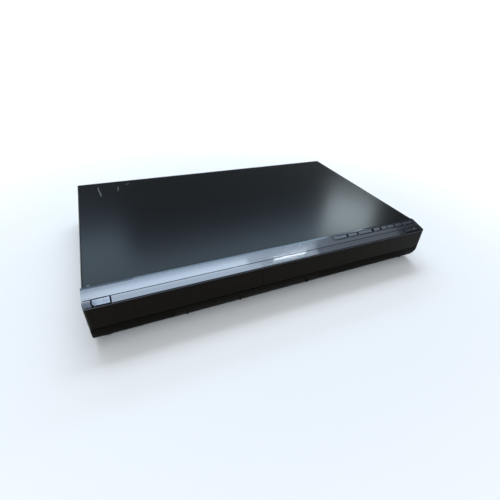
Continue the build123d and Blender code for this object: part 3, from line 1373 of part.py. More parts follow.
def tuner_can():
    """Screened tuner box with two aerial connectors: bored below, pinned above."""
    x = (AERIAL_X - 16.0, AERIAL_X + 16.0)
    can = block(x, (204.0, REAR_INNER_Y), (BOARD_TOP_Z, 53.0))
    can = chamfer(can.edges().filter_by(Axis.Z).group_by(Axis.Y)[0], 1.0)
    collar_end = REAR_FACE_Y + COLLAR_PROUD
    past_tip = TIP_Y + 1
    for z in AERIAL_Z:
        ends = (AERIAL_X, REAR_INNER_Y, z), (AERIAL_X, collar_end, z)
        can += bar(AERIAL_COLLAR, *ends, SMALL_SIDES)
        can += rod(AERIAL_RADIUS, (AERIAL_X, collar_end, z), (AERIAL_X, TIP_Y, z))
    low_z, high_z = AERIAL_Z
    can -= bore(1.2, (AERIAL_X, collar_end, low_z), (AERIAL_X, past_tip, low_z), POST_SIDES)
    can -= bore(3.8, (AERIAL_X, collar_end, high_z), (AERIAL_X, past_tip, high_z), MIDDLE_SIDES)
    pin_end = (AERIAL_X, TIP_Y - 1.0, high_z)
    return can + bar(1.15, (AERIAL_X, collar_end, high_z), pin_end, POST_SIDES)


# Flat cables


def ribbon_x(points, thick, x):
    """Flat cable along points in Y and Z, with mitred bends and square ends, as wide as x."""
    spots = [Vector(*point) for point in points]
    headings = [(b - a).normalized() for a, b in zip(spots, spots[1:])]
    left, right = [], []
    for spot, before, after in zip(spots, headings[:1] + headings, headings + headings[-1:]):
        across = (before + after).normalized().rotate(Axis.Z, 90)
        reach = across * (thick / 2 / math.sqrt((1 + before.dot(after)) / 2))
        left.append(tuple(spot + reach)[:2])
        right.append(tuple(spot - reach)[:2])
    outline = Polyline(*left, *reversed(right), close=True)
    return extrude(Plane.YZ.offset(x[0]) * make_face(outline), amount=x[1] - x[0], dir=(1, 0, 0))


def front_ribbon():
    """Flat cable from the display board over the floor to the main board."""
    low = FLOOR_TOP_Z + 1.8
    points = [
        (DISPLAY_BOARD_Y + BOARD + 3.25, 14.5),
        (-4.0, 14.5),
        (-4.0, 12.2),
        (8.0, 12.2),
        (12.0, low),
        (94.0, low),
        (98.5, 17.0),
        (100.75, 17.0),
    ]
    return ribbon_x(points, 0.5, (59.0, 75.0))


def write_all():
    """Builds every piece and writes its file."""
    os.makedirs("parts", exist_ok=True)
    pieces = {
        "top_cover": top_cover(),
        "chassis_base": chassis_base(),
        "rear_panel": rear_panel(),
        "front_panel": front_panel(),
        "nose_trim": nose_trim(),
        "display_window": gloss_plate((TRAY_FRONT_X[1] + PLATE_GAP, PANEL_EDGE_X - PLATE_GAP)),
        "side_window": gloss_plate((PLATE_GAP - PANEL_EDGE_X, TRAY_FRONT_X[0] - PLATE_GAP)),
        "tray_front": tray_front(),
        "disc_tray": disc_tray(),
        "jack_flap": jack_flap(),
        "power_button": large_button(POWER_X, POWER_V, 3.0),
        "open_button": large_button(OPEN_X, OPEN_V, 0.8),
        "front_boards": key_boards() + [jack_board()],
        "key_switches": key_switches(),
        "display_board": display_board(),
        "display_tube": display_tube(),
        "front_jacks": front_jacks(),
        "usb_socket": usb_socket(),
        "card_slot": card_slot(),
        "feet": [foot(*place) for place in FEET],
        "foot_pads": foot_pads(),
        "case_screws": cover_screws() + base_screws(),
        "drive_base": drive_base(),
        "drive_cover": drive_cover(),
        "disc_clamp": disc_clamp(),
        "traverse_base": traverse_base(),
        "guide_rods": guide_rods(),
        "turntable": turntable(),
        "pickup_sled": pickup_sled(),
        "loading_gear": loading_gear(),
        "motor_pulley": motor_pulley(),
        "loading_motor": loading_motor(),
        "loading_belt": loading_belt(),
        "hard_disk": hard_disk(),
        "disk_bracket": disk_bracket(),
        "disk_mounts": disk_mounts(),
        "supply_board": supply_board(),
        "transformer": transformer(),
        "capacitors": capacitors(),
        "heat_sinks": heat_sinks(),
        "mains_inlet": mains_inlet(),
        "main_board": main_board(),
        "board_chips": board_chips(),
        "fan_frame": fan_frame(),
        "fan_rotor": fan_rotor(),
        "rear_phono_jacks": rear_phono_jacks(),
        "hdmi_socket": hdmi_socket(),
        "optical_socket": optical_socket(),
        "network_socket": network_socket(),
        "sockets_21": sockets_21(),
        "tuner_can": tuner_can(),
        "front_ribbon": front_ribbon(),
    }
    for number, x in enumerate(KEY_LIMITS_X, start=1):
        pieces[f"key_{number}"] = top_key(x)
    for name, shape in pieces.items():
        save(name, shape)


def save(name, shape):
    """Moves a piece, or a group of separate ones, to the recorder's frame and writes it."""
    group = shape if isinstance(shape, list) else [shape]
    moved = [Pos(0, SEAM_Y, 0) * piece for piece in group]
    solids = [solid for piece in moved for solid in piece.solids()]
    whole = solids[0] if len(solids) == 1 else Compound(children=solids)
    export_step(whole, os.path.join("parts", name + ".step"))


write_all()
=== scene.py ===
"""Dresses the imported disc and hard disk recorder: finishes, fine pieces, studio and camera.

Points are in metres, in the frame of the CAD model: +X right, +Y to the rear, +Z up. Drawings
are in millimetres, with Y measured from the seam behind the front panel.
"""

from __future__ import annotations

import json
import logging
import math
import random
import sys
from dataclasses import dataclass, field
from enum import Enum
from typing import Callable, Iterable, Sequence

import bmesh
import bpy
from mathutils import Matrix, Vector

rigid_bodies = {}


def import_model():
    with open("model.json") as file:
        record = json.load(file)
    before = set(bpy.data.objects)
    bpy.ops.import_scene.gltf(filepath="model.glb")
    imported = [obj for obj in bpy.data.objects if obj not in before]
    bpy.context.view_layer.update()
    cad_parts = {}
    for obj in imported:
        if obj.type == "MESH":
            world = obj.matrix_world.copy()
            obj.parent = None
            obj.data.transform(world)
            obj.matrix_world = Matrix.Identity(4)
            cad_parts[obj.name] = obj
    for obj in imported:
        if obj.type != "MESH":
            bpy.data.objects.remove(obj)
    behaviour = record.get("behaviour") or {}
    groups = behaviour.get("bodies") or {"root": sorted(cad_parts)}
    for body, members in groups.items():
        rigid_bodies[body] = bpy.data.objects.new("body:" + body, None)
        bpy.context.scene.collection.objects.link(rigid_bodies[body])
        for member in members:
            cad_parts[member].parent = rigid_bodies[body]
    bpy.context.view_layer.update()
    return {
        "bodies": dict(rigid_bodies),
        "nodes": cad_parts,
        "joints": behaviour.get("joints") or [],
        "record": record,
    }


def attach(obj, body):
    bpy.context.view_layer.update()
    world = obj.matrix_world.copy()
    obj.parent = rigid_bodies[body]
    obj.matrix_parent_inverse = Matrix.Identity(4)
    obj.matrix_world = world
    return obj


log = logging.getLogger("recorder")

MM = 0.001
SEAM_Y = -0.1168
SLOPE_ANGLE = math.radians(12.6)
SLOPE_START = 3.0
SLOPE_TOP = 58.8
SHARP_ANGLE = math.radians(32)
LINE_HEIGHT = 0.05
JACK_INSERT = (1.8, 3.5)
JACK_WASHER = (4.2, 5.2)
ORIGIN = (0.0, 0.0, 0.0)

Point = tuple[float, float, float]
Colour = Point
Span = tuple[float, float]
Place = Callable[[float, float, float], Vector]
Socket = bpy.types.NodeSocket
Vertex = bmesh.types.BMVert


def seam(x: float, y: float, z: float) -> Vector:
    """Point in metres from millimetres right of the middle, behind the seam and above the table."""
    return Vector((x * MM, y * MM + SEAM_Y, z * MM))


def slope(x: float, along: float, out: float) -> Vector:
    """Point on or over the front panel's slope, in metres.

    Args:
        x: millimetres right of the middle.
        along: millimetres up the slope from its rear edge; the front has negative values.
        out: millimetres out of the slope's plane.

    Returns:
        The point in the recorder's frame.
    """
    sine, cosine = math.sin(SLOPE_ANGLE), math.cos(SLOPE_ANGLE)
    y = -SLOPE_START + along * cosine - out * sine
    return seam(x, y, SLOPE_TOP + along * sine + out * cosine)


def turn(steps: int) -> list[float]:
    """Angles that divide a full turn into equal steps."""
    return [2 * math.pi * step / steps for step in range(steps)]


class Texture(Enum):
    """Fine textures: detail of the bumps, then scale and detail of the broad blotches."""

    GRAIN = (1.0, 22.0, 4.0)
    BRUSHED = (3.0, 14.0, 3.0)
    CAST = (4.0, 60.0, 3.0)


class Along(Enum):
    """Direction of brushing or rolling marks, as the bumps' frequency along each axis."""

    ALL = (1.0, 1.0, 1.0)
    X = (1.0, 24.0, 24.0)
    Y = (24.0, 1.0, 24.0)
    Z = (24.0, 24.0, 1.0)


class Axis(Enum):
    """Axis of a turned form, as the places of across, up and along in x, y and z."""

    Y = (1, 2, 0)
    Z = (0, 1, 2)


# Shader building


class Graph:
    """Short way to add and join the nodes of one tree."""

    def __init__(self, tree: bpy.types.NodeTree) -> None:
        """Keeps the tree that the nodes are added to."""
        self.tree = tree

    def add(self, kind: str, inputs: dict | None = None, **settings: object) -> bpy.types.Node:
        """Adds a shader node.

        Args:
            kind: Blender's type name of the node, without ShaderNode.
            inputs: values or sockets for its inputs, by name or number.
            settings: attributes set on the node itself.

        Returns:
            The new node.
        """
        node = self.tree.nodes.new(f"ShaderNode{kind}")
        for name, value in settings.items():
            setattr(node, name, value)
        for key, value in (inputs or {}).items():
            self.feed(node.inputs[key], value)
        return node

    def feed(self, socket: Socket, value: object) -> None:
        """Links an output socket to an input, or sets the input's own value.

        Args:
            socket: the input.
            value: the output socket or the value.
        """
        if isinstance(value, bpy.types.NodeSocket):
            self.tree.links.new(value, socket)
        else:
            socket.default_value = value

    def position(self) -> Socket:
        """Place on the surface."""
        return self.add("NewGeometry").outputs["Position"]

    def math(self, operation: str, a: object, b: object = 0.0) -> Socket:
        """Result of one step of arithmetic."""
        return self.add("Math", {0: a, 1: b}, operation=operation).outputs[0]

    def vector(self, operation: str, a: object, b: object = ORIGIN) -> Socket:
        """Result of one step of vector arithmetic."""
        node = self.add("VectorMath", {0: a, 1: b}, operation=operation)
        return node.outputs["Value" if operation in ("DOT_PRODUCT", "LENGTH") else "Vector"]

    def ramp(self, value: object, low: float, high: float) -> Socket:
        """Value taken smoothly from 0 at low to 1 at high."""
        inputs = {"Value": value, "From Min": low, "From Max": high}
        return self.add("MapRange", inputs, interpolation_type="SMOOTHSTEP").outputs["Result"]

    def mix(self, share: object, a: object, b: object) -> Socket:
        """Mix of two colours.

        Args:
            share: share of the second colour.
            a: the first colour, a socket or red, green and blue.
            b: the second one, likewise.

        Returns:
            The socket with the mixed colour.
        """
        node = self.add("Mix", {0: share}, data_type="RGBA")
        for key, colour in ((6, a), (7, b)):
            self.feed(node.inputs[key], (*colour, 1.0) if isinstance(colour, tuple) else colour)
        return node.outputs[2]

    def noise(self, vector: Socket, scale: object, detail: object) -> Socket:
        """Noise between 0 and 1."""
        inputs = {"Vector": vector, "Scale": scale, "Detail": detail}
        return self.add("TexNoise", inputs).outputs["Fac"]


class Group:
    """A shader node group with named inputs and outputs."""

    def __init__(self, name: str, inputs: dict[str, object], outputs: Sequence[str]) -> None:
        """Makes the group's tree and its sockets.

        Args:
            name: the group's name.
            inputs: default value of each input; a tuple makes a vector input.
            outputs: names of the value outputs.
        """
        self.tree = bpy.data.node_groups.new(name, "ShaderNodeTree")
        sockets = self.tree.interface
        for key, value in inputs.items():
            kind = "NodeSocketVector" if isinstance(value, tuple) else "NodeSocketFloat"
            socket = sockets.new_socket(key, in_out="INPUT", socket_type=kind)
            socket.default_value = value
        for key in outputs:
            sockets.new_socket(key, in_out="OUTPUT", socket_type="NodeSocketFloat")
        self.graph = Graph(self.tree)
        self.start = self.tree.nodes.new("NodeGroupInput")
        self.end = self.tree.nodes.new("NodeGroupOutput")

    def __getitem__(self, key: str) -> Socket:
        """Socket that carries one of the group's inputs."""
        return self.start.outputs[key]

    def __setitem__(self, key: str, value: Socket) -> None:
        """Sends a value to one of the group's outputs."""
        self.graph.feed(self.end.inputs[key], value)


class Effects:
    """The effects that several finishes share, each built once as a node group."""

    _trees: dict[str, bpy.types.NodeTree] = {}

    @classmethod
    def use(cls, graph: Graph, name: str, **inputs: object) -> bpy.types.NodeOutputs:
        """Places one of the shared groups in a material.

        Args:
            graph: the material's graph.
            name: name of the method here that builds the group.
            inputs: values for the group's inputs, with _ for a space.

        Returns:
            The outputs of the group's node.
        """
        if name not in cls._trees:
            cls._trees[name] = getattr(cls, name)().tree
        node = graph.add("Group", node_tree=cls._trees[name])
        for key, value in inputs.items():
            graph.feed(node.inputs[key.replace("_", " ")], value)
        return node.outputs

    @staticmethod
    def texture() -> Group:
        """Fine bumps, drawn out where the stretch isn't even, and broad blotches."""
        fine = {"Stretch": Along.ALL.value, "Scale": 2500.0, "Detail": 1.0}
        broad = {"Blotch Scale": 22.0, "Blotch Detail": 4.0}
        group = Group("texture", {"Position": ORIGIN, **fine, **broad}, ["Height", "Blotch"])
        graph, position = group.graph, group["Position"]
        drawn = graph.vector("MULTIPLY", position, group["Stretch"])
        group["Height"] = graph.noise(drawn, group["Scale"], group["Detail"])
        group["Blotch"] = graph.noise(position, group["Blotch Scale"], group["Blotch Detail"])
        return group

    @staticmethod
    def scratch() -> Group:
        """One thin scratch between two points, wandering a little."""
        points = {"Position": ORIGIN, "Start": ORIGIN, "End": (0.0, 0.0, 1.0)}
        group = Group("scratch", {**points, "Width": 0.0003}, ["Mask"])
        graph, position, start = group.graph, group["Position"], group["Start"]
        noise = graph.add("TexNoise", {"Vector": position, "Scale": 45.0, "Detail": 1.0})
        wander = graph.vector("SUBTRACT", noise.outputs["Color"], (0.5, 0.5, 0.5))
        place = graph.vector("ADD", position, graph.vector("MULTIPLY", wander, (0.006, 0.006, 0.0)))
        along = graph.vector("SUBTRACT", group["End"], start)
        away = graph.vector("SUBTRACT", place, start)
        reach = graph.vector("DOT_PRODUCT", away, along)
        square = graph.vector("DOT_PRODUCT", along, along)
        inside = graph.add("Clamp", {"Value": graph.math("DIVIDE", reach, square)}).outputs[0]
        gap = graph.vector("SUBTRACT", away, graph.vector("MULTIPLY", along, inside))
        near = graph.math("DIVIDE", graph.vector("LENGTH", gap), group["Width"])
        group["Mask"] = graph.math("SUBTRACT", 1.0, graph.ramp(near, 0.3, 1.0))
        return group

    @staticmethod
    def tracks() -> Group:
        """Printed tracks and pads of a circuit board."""
        group = Group("tracks", {"Position": ORIGIN}, ["Track", "Pad"])
        graph = group.graph
        cells, lines = (
            graph.add(
                "TexVoronoi",
                {"Vector": group["Position"], "Scale": scale, "Randomness": disorder},
                distance=metric,
                feature="F1",
            ).outputs["Distance"]
            for scale, disorder, metric in ((260.0, 0.35, "MANHATTAN"), (140.0, 0.6, "CHEBYCHEV"))
        )
        group["Track"] = graph.ramp(graph.math("PINGPONG", lines, 0.09), 0.05, 0.06)
        group["Pad"] = graph.math("SUBTRACT", 1.0, graph.ramp(cells, 0.14, 0.18))
        return group


def blank(name: str) -> tuple[bpy.types.Material, Graph, bpy.types.NodeInputs]:
    """New material, its graph and the inputs of its shader."""
    material = bpy.data.materials.new(name)
    material.use_nodes = True
    shader = material.node_tree.nodes["Principled BSDF"]
    return material, Graph(material.node_tree), shader.inputs


@dataclass(frozen=True)
class Finish:
    """One surface finish and how its material is built.

    Attributes:
        name: the material's name.
        colour, second: main colour and that of its broad blotches, linear.
        roughness, spread: middle roughness and how far it varies.
        metallic, specular: 1 for bare metal, and the specular level.
        texture, marks: kind of fine texture and direction of brushing.
        size, depth: size and depth of the texture's bumps in metres.
        coat, coat_roughness: weight and roughness of the clear coat.
    """

    name: str
    colour: Colour
    second: Colour
    roughness: float = 0.5
    spread: float = 0.06
    metallic: float = 0.0
    specular: float = 0.5
    texture: Texture = Texture.GRAIN
    size: float = 0.0004
    depth: float = 0.00002
    marks: Along = Along.ALL
    coat: float = 0.0
    coat_roughness: float = 0.1

    def material(self) -> bpy.types.Material:
        """Finds the finish's material, or builds it.

        Returns:
            The material.
        """
        name = f"{self.name}_finish"
        return bpy.data.materials.get(name) or self.build(name)

    def build(self, name: str) -> bpy.types.Material:
        """Builds the material.

        Args:
            name: its name.

        Returns:
            The new material.
        """
        material, graph, inputs = blank(name)
        position = graph.position()
        detail, blotch_scale, blotch_detail = self.texture.value
        surface = Effects.use(
            graph,
            "texture",
            Position=position,
            Stretch=self.marks.value,
            Scale=1.0 / self.size,
            Detail=detail,
            Blotch_Scale=blotch_scale,
            Blotch_Detail=blotch_detail,
        )
        swing = graph.math("MULTIPLY", surface["Blotch"], 2.0 * self.spread)
        bump = graph.add("Bump", {"Height": surface["Height"], "Distance": self.depth})
        looks = {
            "Base Color": graph.mix(surface["Blotch"], self.colour, self.second),
            "Roughness": graph.math("ADD", swing, self.roughness - self.spread),
            "Metallic": self.metallic,
            "Coat Weight": self.coat,
            "Normal": bump.outputs[0],
        }
        self.vary(graph, position, looks)
        for key, value in looks.items():
            graph.feed(inputs[key], value)
        inputs["Specular IOR Level"].default_value = self.specular
        inputs["Coat Roughness"].default_value = self.coat_roughness
        return material

    def vary(self, graph: Graph, position: Socket, looks: dict[str, object]) -> None:
        """Changes the shader's values where a special finish varies; a plain one doesn't."""


@dataclass(frozen=True)
class Cast(Finish):
    """Casting, plating or resin with a shallow unevenness."""

    texture: Texture = Texture.CAST


@dataclass(frozen=True)
class Metal(Finish):
    """Bare metal with the long marks of rolling or brushing."""

    metallic: float = 1.0
    texture: Texture = Texture.BRUSHED
    size: float = 1 / 90
    marks: Along = Along.X


@dataclass(frozen=True)
class Lacquer(Finish):
    """Flaked lacquer, which mirrors like metal, under a clear coat."""

    roughness: float = 0.20
    spread: float = 0.015
    metallic: float = 1.0
    size: float = 0.0003
    depth: float = 0.000002
    coat: float = 1.0


@dataclass(frozen=True)
class ScratchedPaint(Finish):
    """Painted sheet with a few scratches, each with its ends and its width in metres."""

    scratches: tuple[tuple[Point, Point, float], ...] = ()
    scratch_colour: Colour = (0.26, 0.28, 0.30)

    def vary(self, graph: Graph, position: Socket, looks: dict[str, object]) -> None:
        """Draws each scratch over the paint."""
        for start, end, width in self.scratches:
            ends = {"Start": tuple(seam(*start)), "End": tuple(seam(*end))}
            mask = Effects.use(graph, "scratch", Position=position, Width=width, **ends)["Mask"]
            looks["Base Color"] = graph.mix(mask, looks["Base Color"], self.scratch_colour)


@dataclass(frozen=True)
class BandedPlastic(Lacquer):
    """Lacquered moulding that is dark and dull below its sloping top: bare moulding on the panel's
    strip, painted shade on the trim's rounded nose.

    Attributes:
        bare: dark colour below the lacquer; on the panel the bare moulding's, on the trim painted
            shade.
        bare_roughness: how much rougher it is than the lacquer.
        depth_below: how far under the slope's plane the lacquer ends, in metres.
        fade: height over which it ends, in metres.
    """

    bare: Colour = (0.0045, 0.0039, 0.0027)
    bare_roughness: float = 0.35
    depth_below: float = 0.0011
    fade: float = 0.0003

    def vary(self, graph: Graph, position: Socket, looks: dict[str, object]) -> None:
        """Takes mirroring and coat off below the slope's plane and paints the dark colour there."""
        foot = slope(*ORIGIN)
        outward = tuple(slope(0.0, 0.0, 1000.0) - foot)
        above = graph.vector("SUBTRACT", position, tuple(foot))
        height = graph.vector("DOT_PRODUCT", above, outward)
        lacquer = graph.ramp(height, -self.depth_below - self.fade, -self.depth_below)
        # Dark colour below the lacquer: the panel's bare moulding, and painted shade on the trim's
        # rounded nose.
        looks["Base Color"] = graph.mix(lacquer, self.bare, looks["Base Color"])
        looks["Coat Weight"] = graph.math("MULTIPLY", lacquer, self.coat)
        looks["Metallic"] = graph.math("MULTIPLY", lacquer, self.metallic)
        bare = graph.math("SUBTRACT", 1.0, lacquer)
        duller = graph.math("MULTIPLY", bare, self.bare_roughness)
        looks["Roughness"] = graph.math("ADD", looks["Roughness"], duller)


@dataclass(frozen=True)
class JackPlastic(Finish):
    """Socket plastic whose barrels, beyond a plane across Y, are plated metal.

    Attributes:
        face: millimetres from the seam to the plane.
        outward: 1 where the barrels point to the rear, -1 where they point to the front.
        plating: colour of the plated barrels.
    """

    face: float = 0.0
    outward: float = 1.0
    plating: Colour = (0.68, 0.65, 0.58)

    def vary(self, graph: Graph, position: Socket, looks: dict[str, object]) -> None:
        """Makes the barrels plated metal."""
        y = graph.add("SeparateXYZ", {0: position}).outputs["Y"]
        past = graph.math("SUBTRACT", y, seam(0.0, self.face, 0.0).y)
        plated = graph.ramp(graph.math("MULTIPLY", past, self.outward), 0.00004, 0.00008)
        looks["Metallic"] = plated
        looks["Base Color"] = graph.mix(plated, looks["Base Color"], self.plating)


@dataclass(frozen=True)
class CircuitBoard(Finish):
    """Green solder mask over printed tracks, with tinned pads."""

    track: Colour = (0.045, 0.20, 0.085)
    pad: Colour = (0.55, 0.54, 0.50)

    def vary(self, graph: Graph, position: Socket, looks: dict[str, object]) -> None:
        """Draws tracks and pads."""
        masks = Effects.use(graph, "tracks", Position=position)
        colour = graph.mix(masks["Track"], looks["Base Color"], self.track)
        looks["Base Color"] = graph.mix(masks["Pad"], colour, self.pad)


@dataclass(frozen=True)
class ClearGlass(Finish):
    """Dark transparent glass of the display tube."""

    transmission: float = 0.6

    def build(self, name: str) -> bpy.types.Material:
        """Builds the glass.

        Args:
            name: the material's name.

        Returns:
            The new material.
        """
        material, graph, inputs = blank(name)
        blotch = graph.noise(graph.position(), 40.0, 2.0)
        graph.feed(inputs["Base Color"], graph.mix(blotch, self.colour, self.second))
        inputs["Transmission Weight"].default_value = self.transmission
        inputs["Roughness"].default_value = self.roughness
        return material


COVER_PAINT = ScratchedPaint(
    "cover_paint", (0.0020, 0.0026, 0.0032), (0.0030, 0.0038, 0.0046), 0.205,
    spread=0.008, specular=0.22, size=0.0005, depth=0.000001,
    scratches=(
        ((-186.6, 236.7, 59.0), (-184.4, 204.8, 59.0), 0.0006),
        ((-158.8, 230.2, 59.0), (-160.8, 217.4, 59.0), 0.0005),
        ((-142.6, 240.1, 59.0), (-147.5, 235.9, 59.0), 0.0006),
        ((-208.4, 0.8, 59.0), (-206.4, 0.8, 59.0), 0.0006),
    ),
)
PANEL_PLASTIC = BandedPlastic(
    "panel_plastic", (0.030, 0.039, 0.053), (0.035, 0.045, 0.060),
    specular=0.02, coat_roughness=0.07,
)
# Its dark navy below the slope is painted shade on the trim's rounded nose.
TRIM_LACQUER = BandedPlastic(
    "trim_lacquer", (0.022, 0.029, 0.040), (0.026, 0.034, 0.046), depth=0.0000008,
    coat_roughness=0.05, bare=(0.003, 0.009, 0.020), bare_roughness=0.2, depth_below=0.0005,
)
BUTTON_GREY = Lacquer(
    "button_grey", (0.046, 0.057, 0.076), (0.052, 0.064, 0.084), coat=0.85, coat_roughness=0.06
)
KEY_CAP = Lacquer(
    "key_cap", (0.062, 0.076, 0.098), (0.070, 0.085, 0.108), 0.24, coat_roughness=0.08
)
STRIP_PLASTIC = Finish(
    "strip_plastic", (0.0045, 0.0039, 0.0027), (0.0052, 0.0045, 0.0031), 0.40,
    specular=0.02, depth=0.00001,
)
GLOSS_BLACK = Cast(
    "gloss_black", (0.0050, 0.0036, 0.0020), (0.0065, 0.0049, 0.0027), 0.06,
    spread=0.01, specular=0.06, size=0.02, depth=0.000004,
)
# Near-black lines: painted shade in grooves, gaps and screw recesses, and the print on the rear
# panel.
SHADE_AND_PRINT_LINE = Finish(
    "shadow_line", (0.003, 0.004, 0.007), (0.004, 0.006, 0.009), 0.6, specular=0.02
)
PRINT_GREY = Finish("print_grey", (0.11, 0.12, 0.14), (0.14, 0.15, 0.17))
SCREW_BLACK = Cast("screw_black", (0.014, 0.014, 0.015), (0.03, 0.03, 0.03), 0.38)
FOOT_PLASTIC = Finish("foot_plastic", (0.010, 0.010, 0.011), (0.016, 0.016, 0.017), 0.55)
PAD_RUBBER = Finish("pad_rubber", (0.018, 0.018, 0.018), (0.028, 0.028, 0.027), 0.82, depth=0.00004)
BELT_RUBBER = Finish("belt_rubber", (0.012, 0.012, 0.012), (0.02, 0.02, 0.02), 0.7)
DRIVE_PLASTIC = Finish("drive_plastic", (0.014, 0.014, 0.015), (0.020, 0.020, 0.021))
TRAY_PLASTIC = Finish("tray_plastic", (0.020, 0.020, 0.022), (0.028, 0.028, 0.030), 0.36)
GEAR_WHITE = Cast("gear_white", (0.66, 0.65, 0.58), (0.72, 0.71, 0.65), 0.38)
PICKUP_DARK = Cast("pickup_dark", (0.04, 0.04, 0.047), (0.06, 0.06, 0.068), 0.42)
LENS_BLUE = Finish(
    "lens_blue", (0.05, 0.05, 0.16), (0.07, 0.06, 0.20), 0.05,
    spread=0.01, coat=1.0, coat_roughness=0.02, depth=0.000001,
)
ZINC_STEEL = Metal("zinc_steel", (0.47, 0.48, 0.48), (0.56, 0.57, 0.56), 0.34, depth=0.000006)
SHELL_METAL = Metal("shell_metal", (0.60, 0.60, 0.60), (0.67, 0.67, 0.66), 0.25, depth=0.000003)
MOTOR_STEEL = Metal(
    "motor_steel", (0.56, 0.56, 0.56), (0.62, 0.62, 0.61), 0.28, marks=Along.Z, depth=0.000004
)
GROUND_STEEL = Metal(
    "ground_steel", (0.70, 0.70, 0.71), (0.76, 0.76, 0.77), 0.12, marks=Along.Y, depth=0.000002
)
SINK_ALUMINIUM = Metal(
    "sink_aluminium", (0.56, 0.57, 0.58), (0.62, 0.63, 0.64), 0.33, marks=Along.Z, depth=0.000008
)
COPPER_WIRE = Metal(
    "copper_wire", (0.62, 0.27, 0.13), (0.70, 0.33, 0.17), 0.3, marks=Along.Z, depth=0.00001
)
DISK_ALUMINIUM = Cast(
    "disk_aluminium", (0.46, 0.47, 0.48), (0.54, 0.55, 0.56), 0.42,
    metallic=1.0, size=0.0008, depth=0.00003,
)
GOLD_PLATE = Cast(
    "gold_plate", (0.83, 0.60, 0.24), (0.88, 0.66, 0.30), 0.22, metallic=1.0, depth=0.000002
)
NICKEL = Cast(
    "nickel_plate", (0.66, 0.63, 0.57), (0.72, 0.69, 0.63), 0.2, metallic=1.0, depth=0.000002
)
BOARD_GREEN = CircuitBoard(
    "board_green", (0.016, 0.11, 0.045), (0.022, 0.13, 0.055), 0.32, depth=0.00001
)
CHIP_BLACK = Cast("chip_black", (0.014, 0.014, 0.015), (0.022, 0.022, 0.023))
CAN_SLEEVE = Cast("can_sleeve", (0.012, 0.018, 0.06), (0.016, 0.024, 0.075), 0.25)
FERRITE = Cast("ferrite", (0.05, 0.044, 0.040), (0.085, 0.07, 0.055), 0.6)
TAPE_YELLOW = Cast("tape_yellow", (0.70, 0.50, 0.06), (0.76, 0.56, 0.09), 0.35)
RESISTOR_BLACK = Cast("resistor_black", (0.02, 0.02, 0.022), (0.04, 0.04, 0.042), 0.4)
CERAMIC_TAN = Cast("ceramic_tan", (0.42, 0.27, 0.14), (0.50, 0.33, 0.18), 0.4)
FAN_BLACK = Finish("fan_black", (0.016, 0.016, 0.017), (0.022, 0.022, 0.023), 0.45)
SOCKET_PLASTIC = Finish("socket_plastic", (0.016, 0.016, 0.016), (0.024, 0.024, 0.024), 0.45)
FRONT_JACK = JackPlastic(
    "front_jack", (0.016, 0.016, 0.016), (0.024, 0.024, 0.024), 0.34, face=-12.2, outward=-1.0
)
REAR_JACK = JackPlastic(
    "rear_jack", (0.016, 0.016, 0.016), (0.024, 0.024, 0.024), 0.34, face=252.0
)
CABLE_WHITE = Finish("cable_white", (0.68, 0.68, 0.64), (0.74, 0.74, 0.70), 0.45)
LABEL_WHITE = Finish("label_white", (0.70, 0.70, 0.68), (0.76, 0.76, 0.74), 0.55)
TUBE_GLASS = ClearGlass("tube_glass", (0.05, 0.06, 0.06), (0.065, 0.078, 0.078), 0.04)


class Jack(Enum):
    """Colours of the phono jacks' inserts."""

    YELLOW = (0.75, 0.52, 0.03)
    WHITE = (0.72, 0.72, 0.70)
    RED = (0.50, 0.02, 0.02)
    GREEN = (0.03, 0.28, 0.07)
    BLUE = (0.02, 0.07, 0.38)

    def finish(self) -> Finish:
        """Glossy plastic in the jack's colour."""
        pale = tuple(min(1.0, channel * 1.12) for channel in self.value)
        return Finish(f"jack_{self.name.lower()}", self.value, pale, 0.32, spread=0.04)


# Drawing


def rounded(a: Span, b: Span, radii: float | Sequence[float], steps: int = 5) -> list[Span]:
    """Outline of a rectangle with rounded corners.

    Args:
        a: limits in the first direction.
        b: limits in the second direction.
        radii: radius of all corners, or of each, from low-low round by high-low and high-high.
        steps: points of each corner.

    Returns:
        The outline's points, counterclockwise.
    """
    signs = ((-1, -1), (1, -1), (1, 1), (-1, 1))
    radii = (radii,) * 4 if isinstance(radii, float) else radii
    points = []
    for number, ((sign_a, sign_b), radius) in enumerate(zip(signs, radii)):
        centre_a = (a[0] + radius) if sign_a < 0 else (a[1] - radius)
        centre_b = (b[0] + radius) if sign_b < 0 else (b[1] - radius)
        for step in range(steps):
            t = math.pi * (1.0 + number / 2 + step / (2 * (steps - 1)))
            points.append((centre_a + radius * math.cos(t), centre_b + radius * math.sin(t)))
    return points


def wider(limits: Span, by: float) -> Span:
    """Limits moved apart by the same amount at each end."""
    return (limits[0] - by, limits[1] + by)


def about(centre: float, half: float) -> Span:
    """Limits at the same distance on both sides of a centre."""
    return (centre - half, centre + half)


def ring(inner: float, outer: float, low: float, high: float) -> list[Span]:
    """Profile of a flat ring with slightly eased outer edges, for a lathe.

    Args:
        inner: inner radius.
        outer: outer radius.
        low: lower level.
        high: upper level.

    Returns:
        The closed profile.
    """
    ease = min(0.3 * (high - low), 0.25 * (outer - inner))
    rim = [(outer - ease, low), (outer, low + ease), (outer, high - ease), (outer - ease, high)]
    return [(inner, low), *rim, (inner, high), (inner, low)]


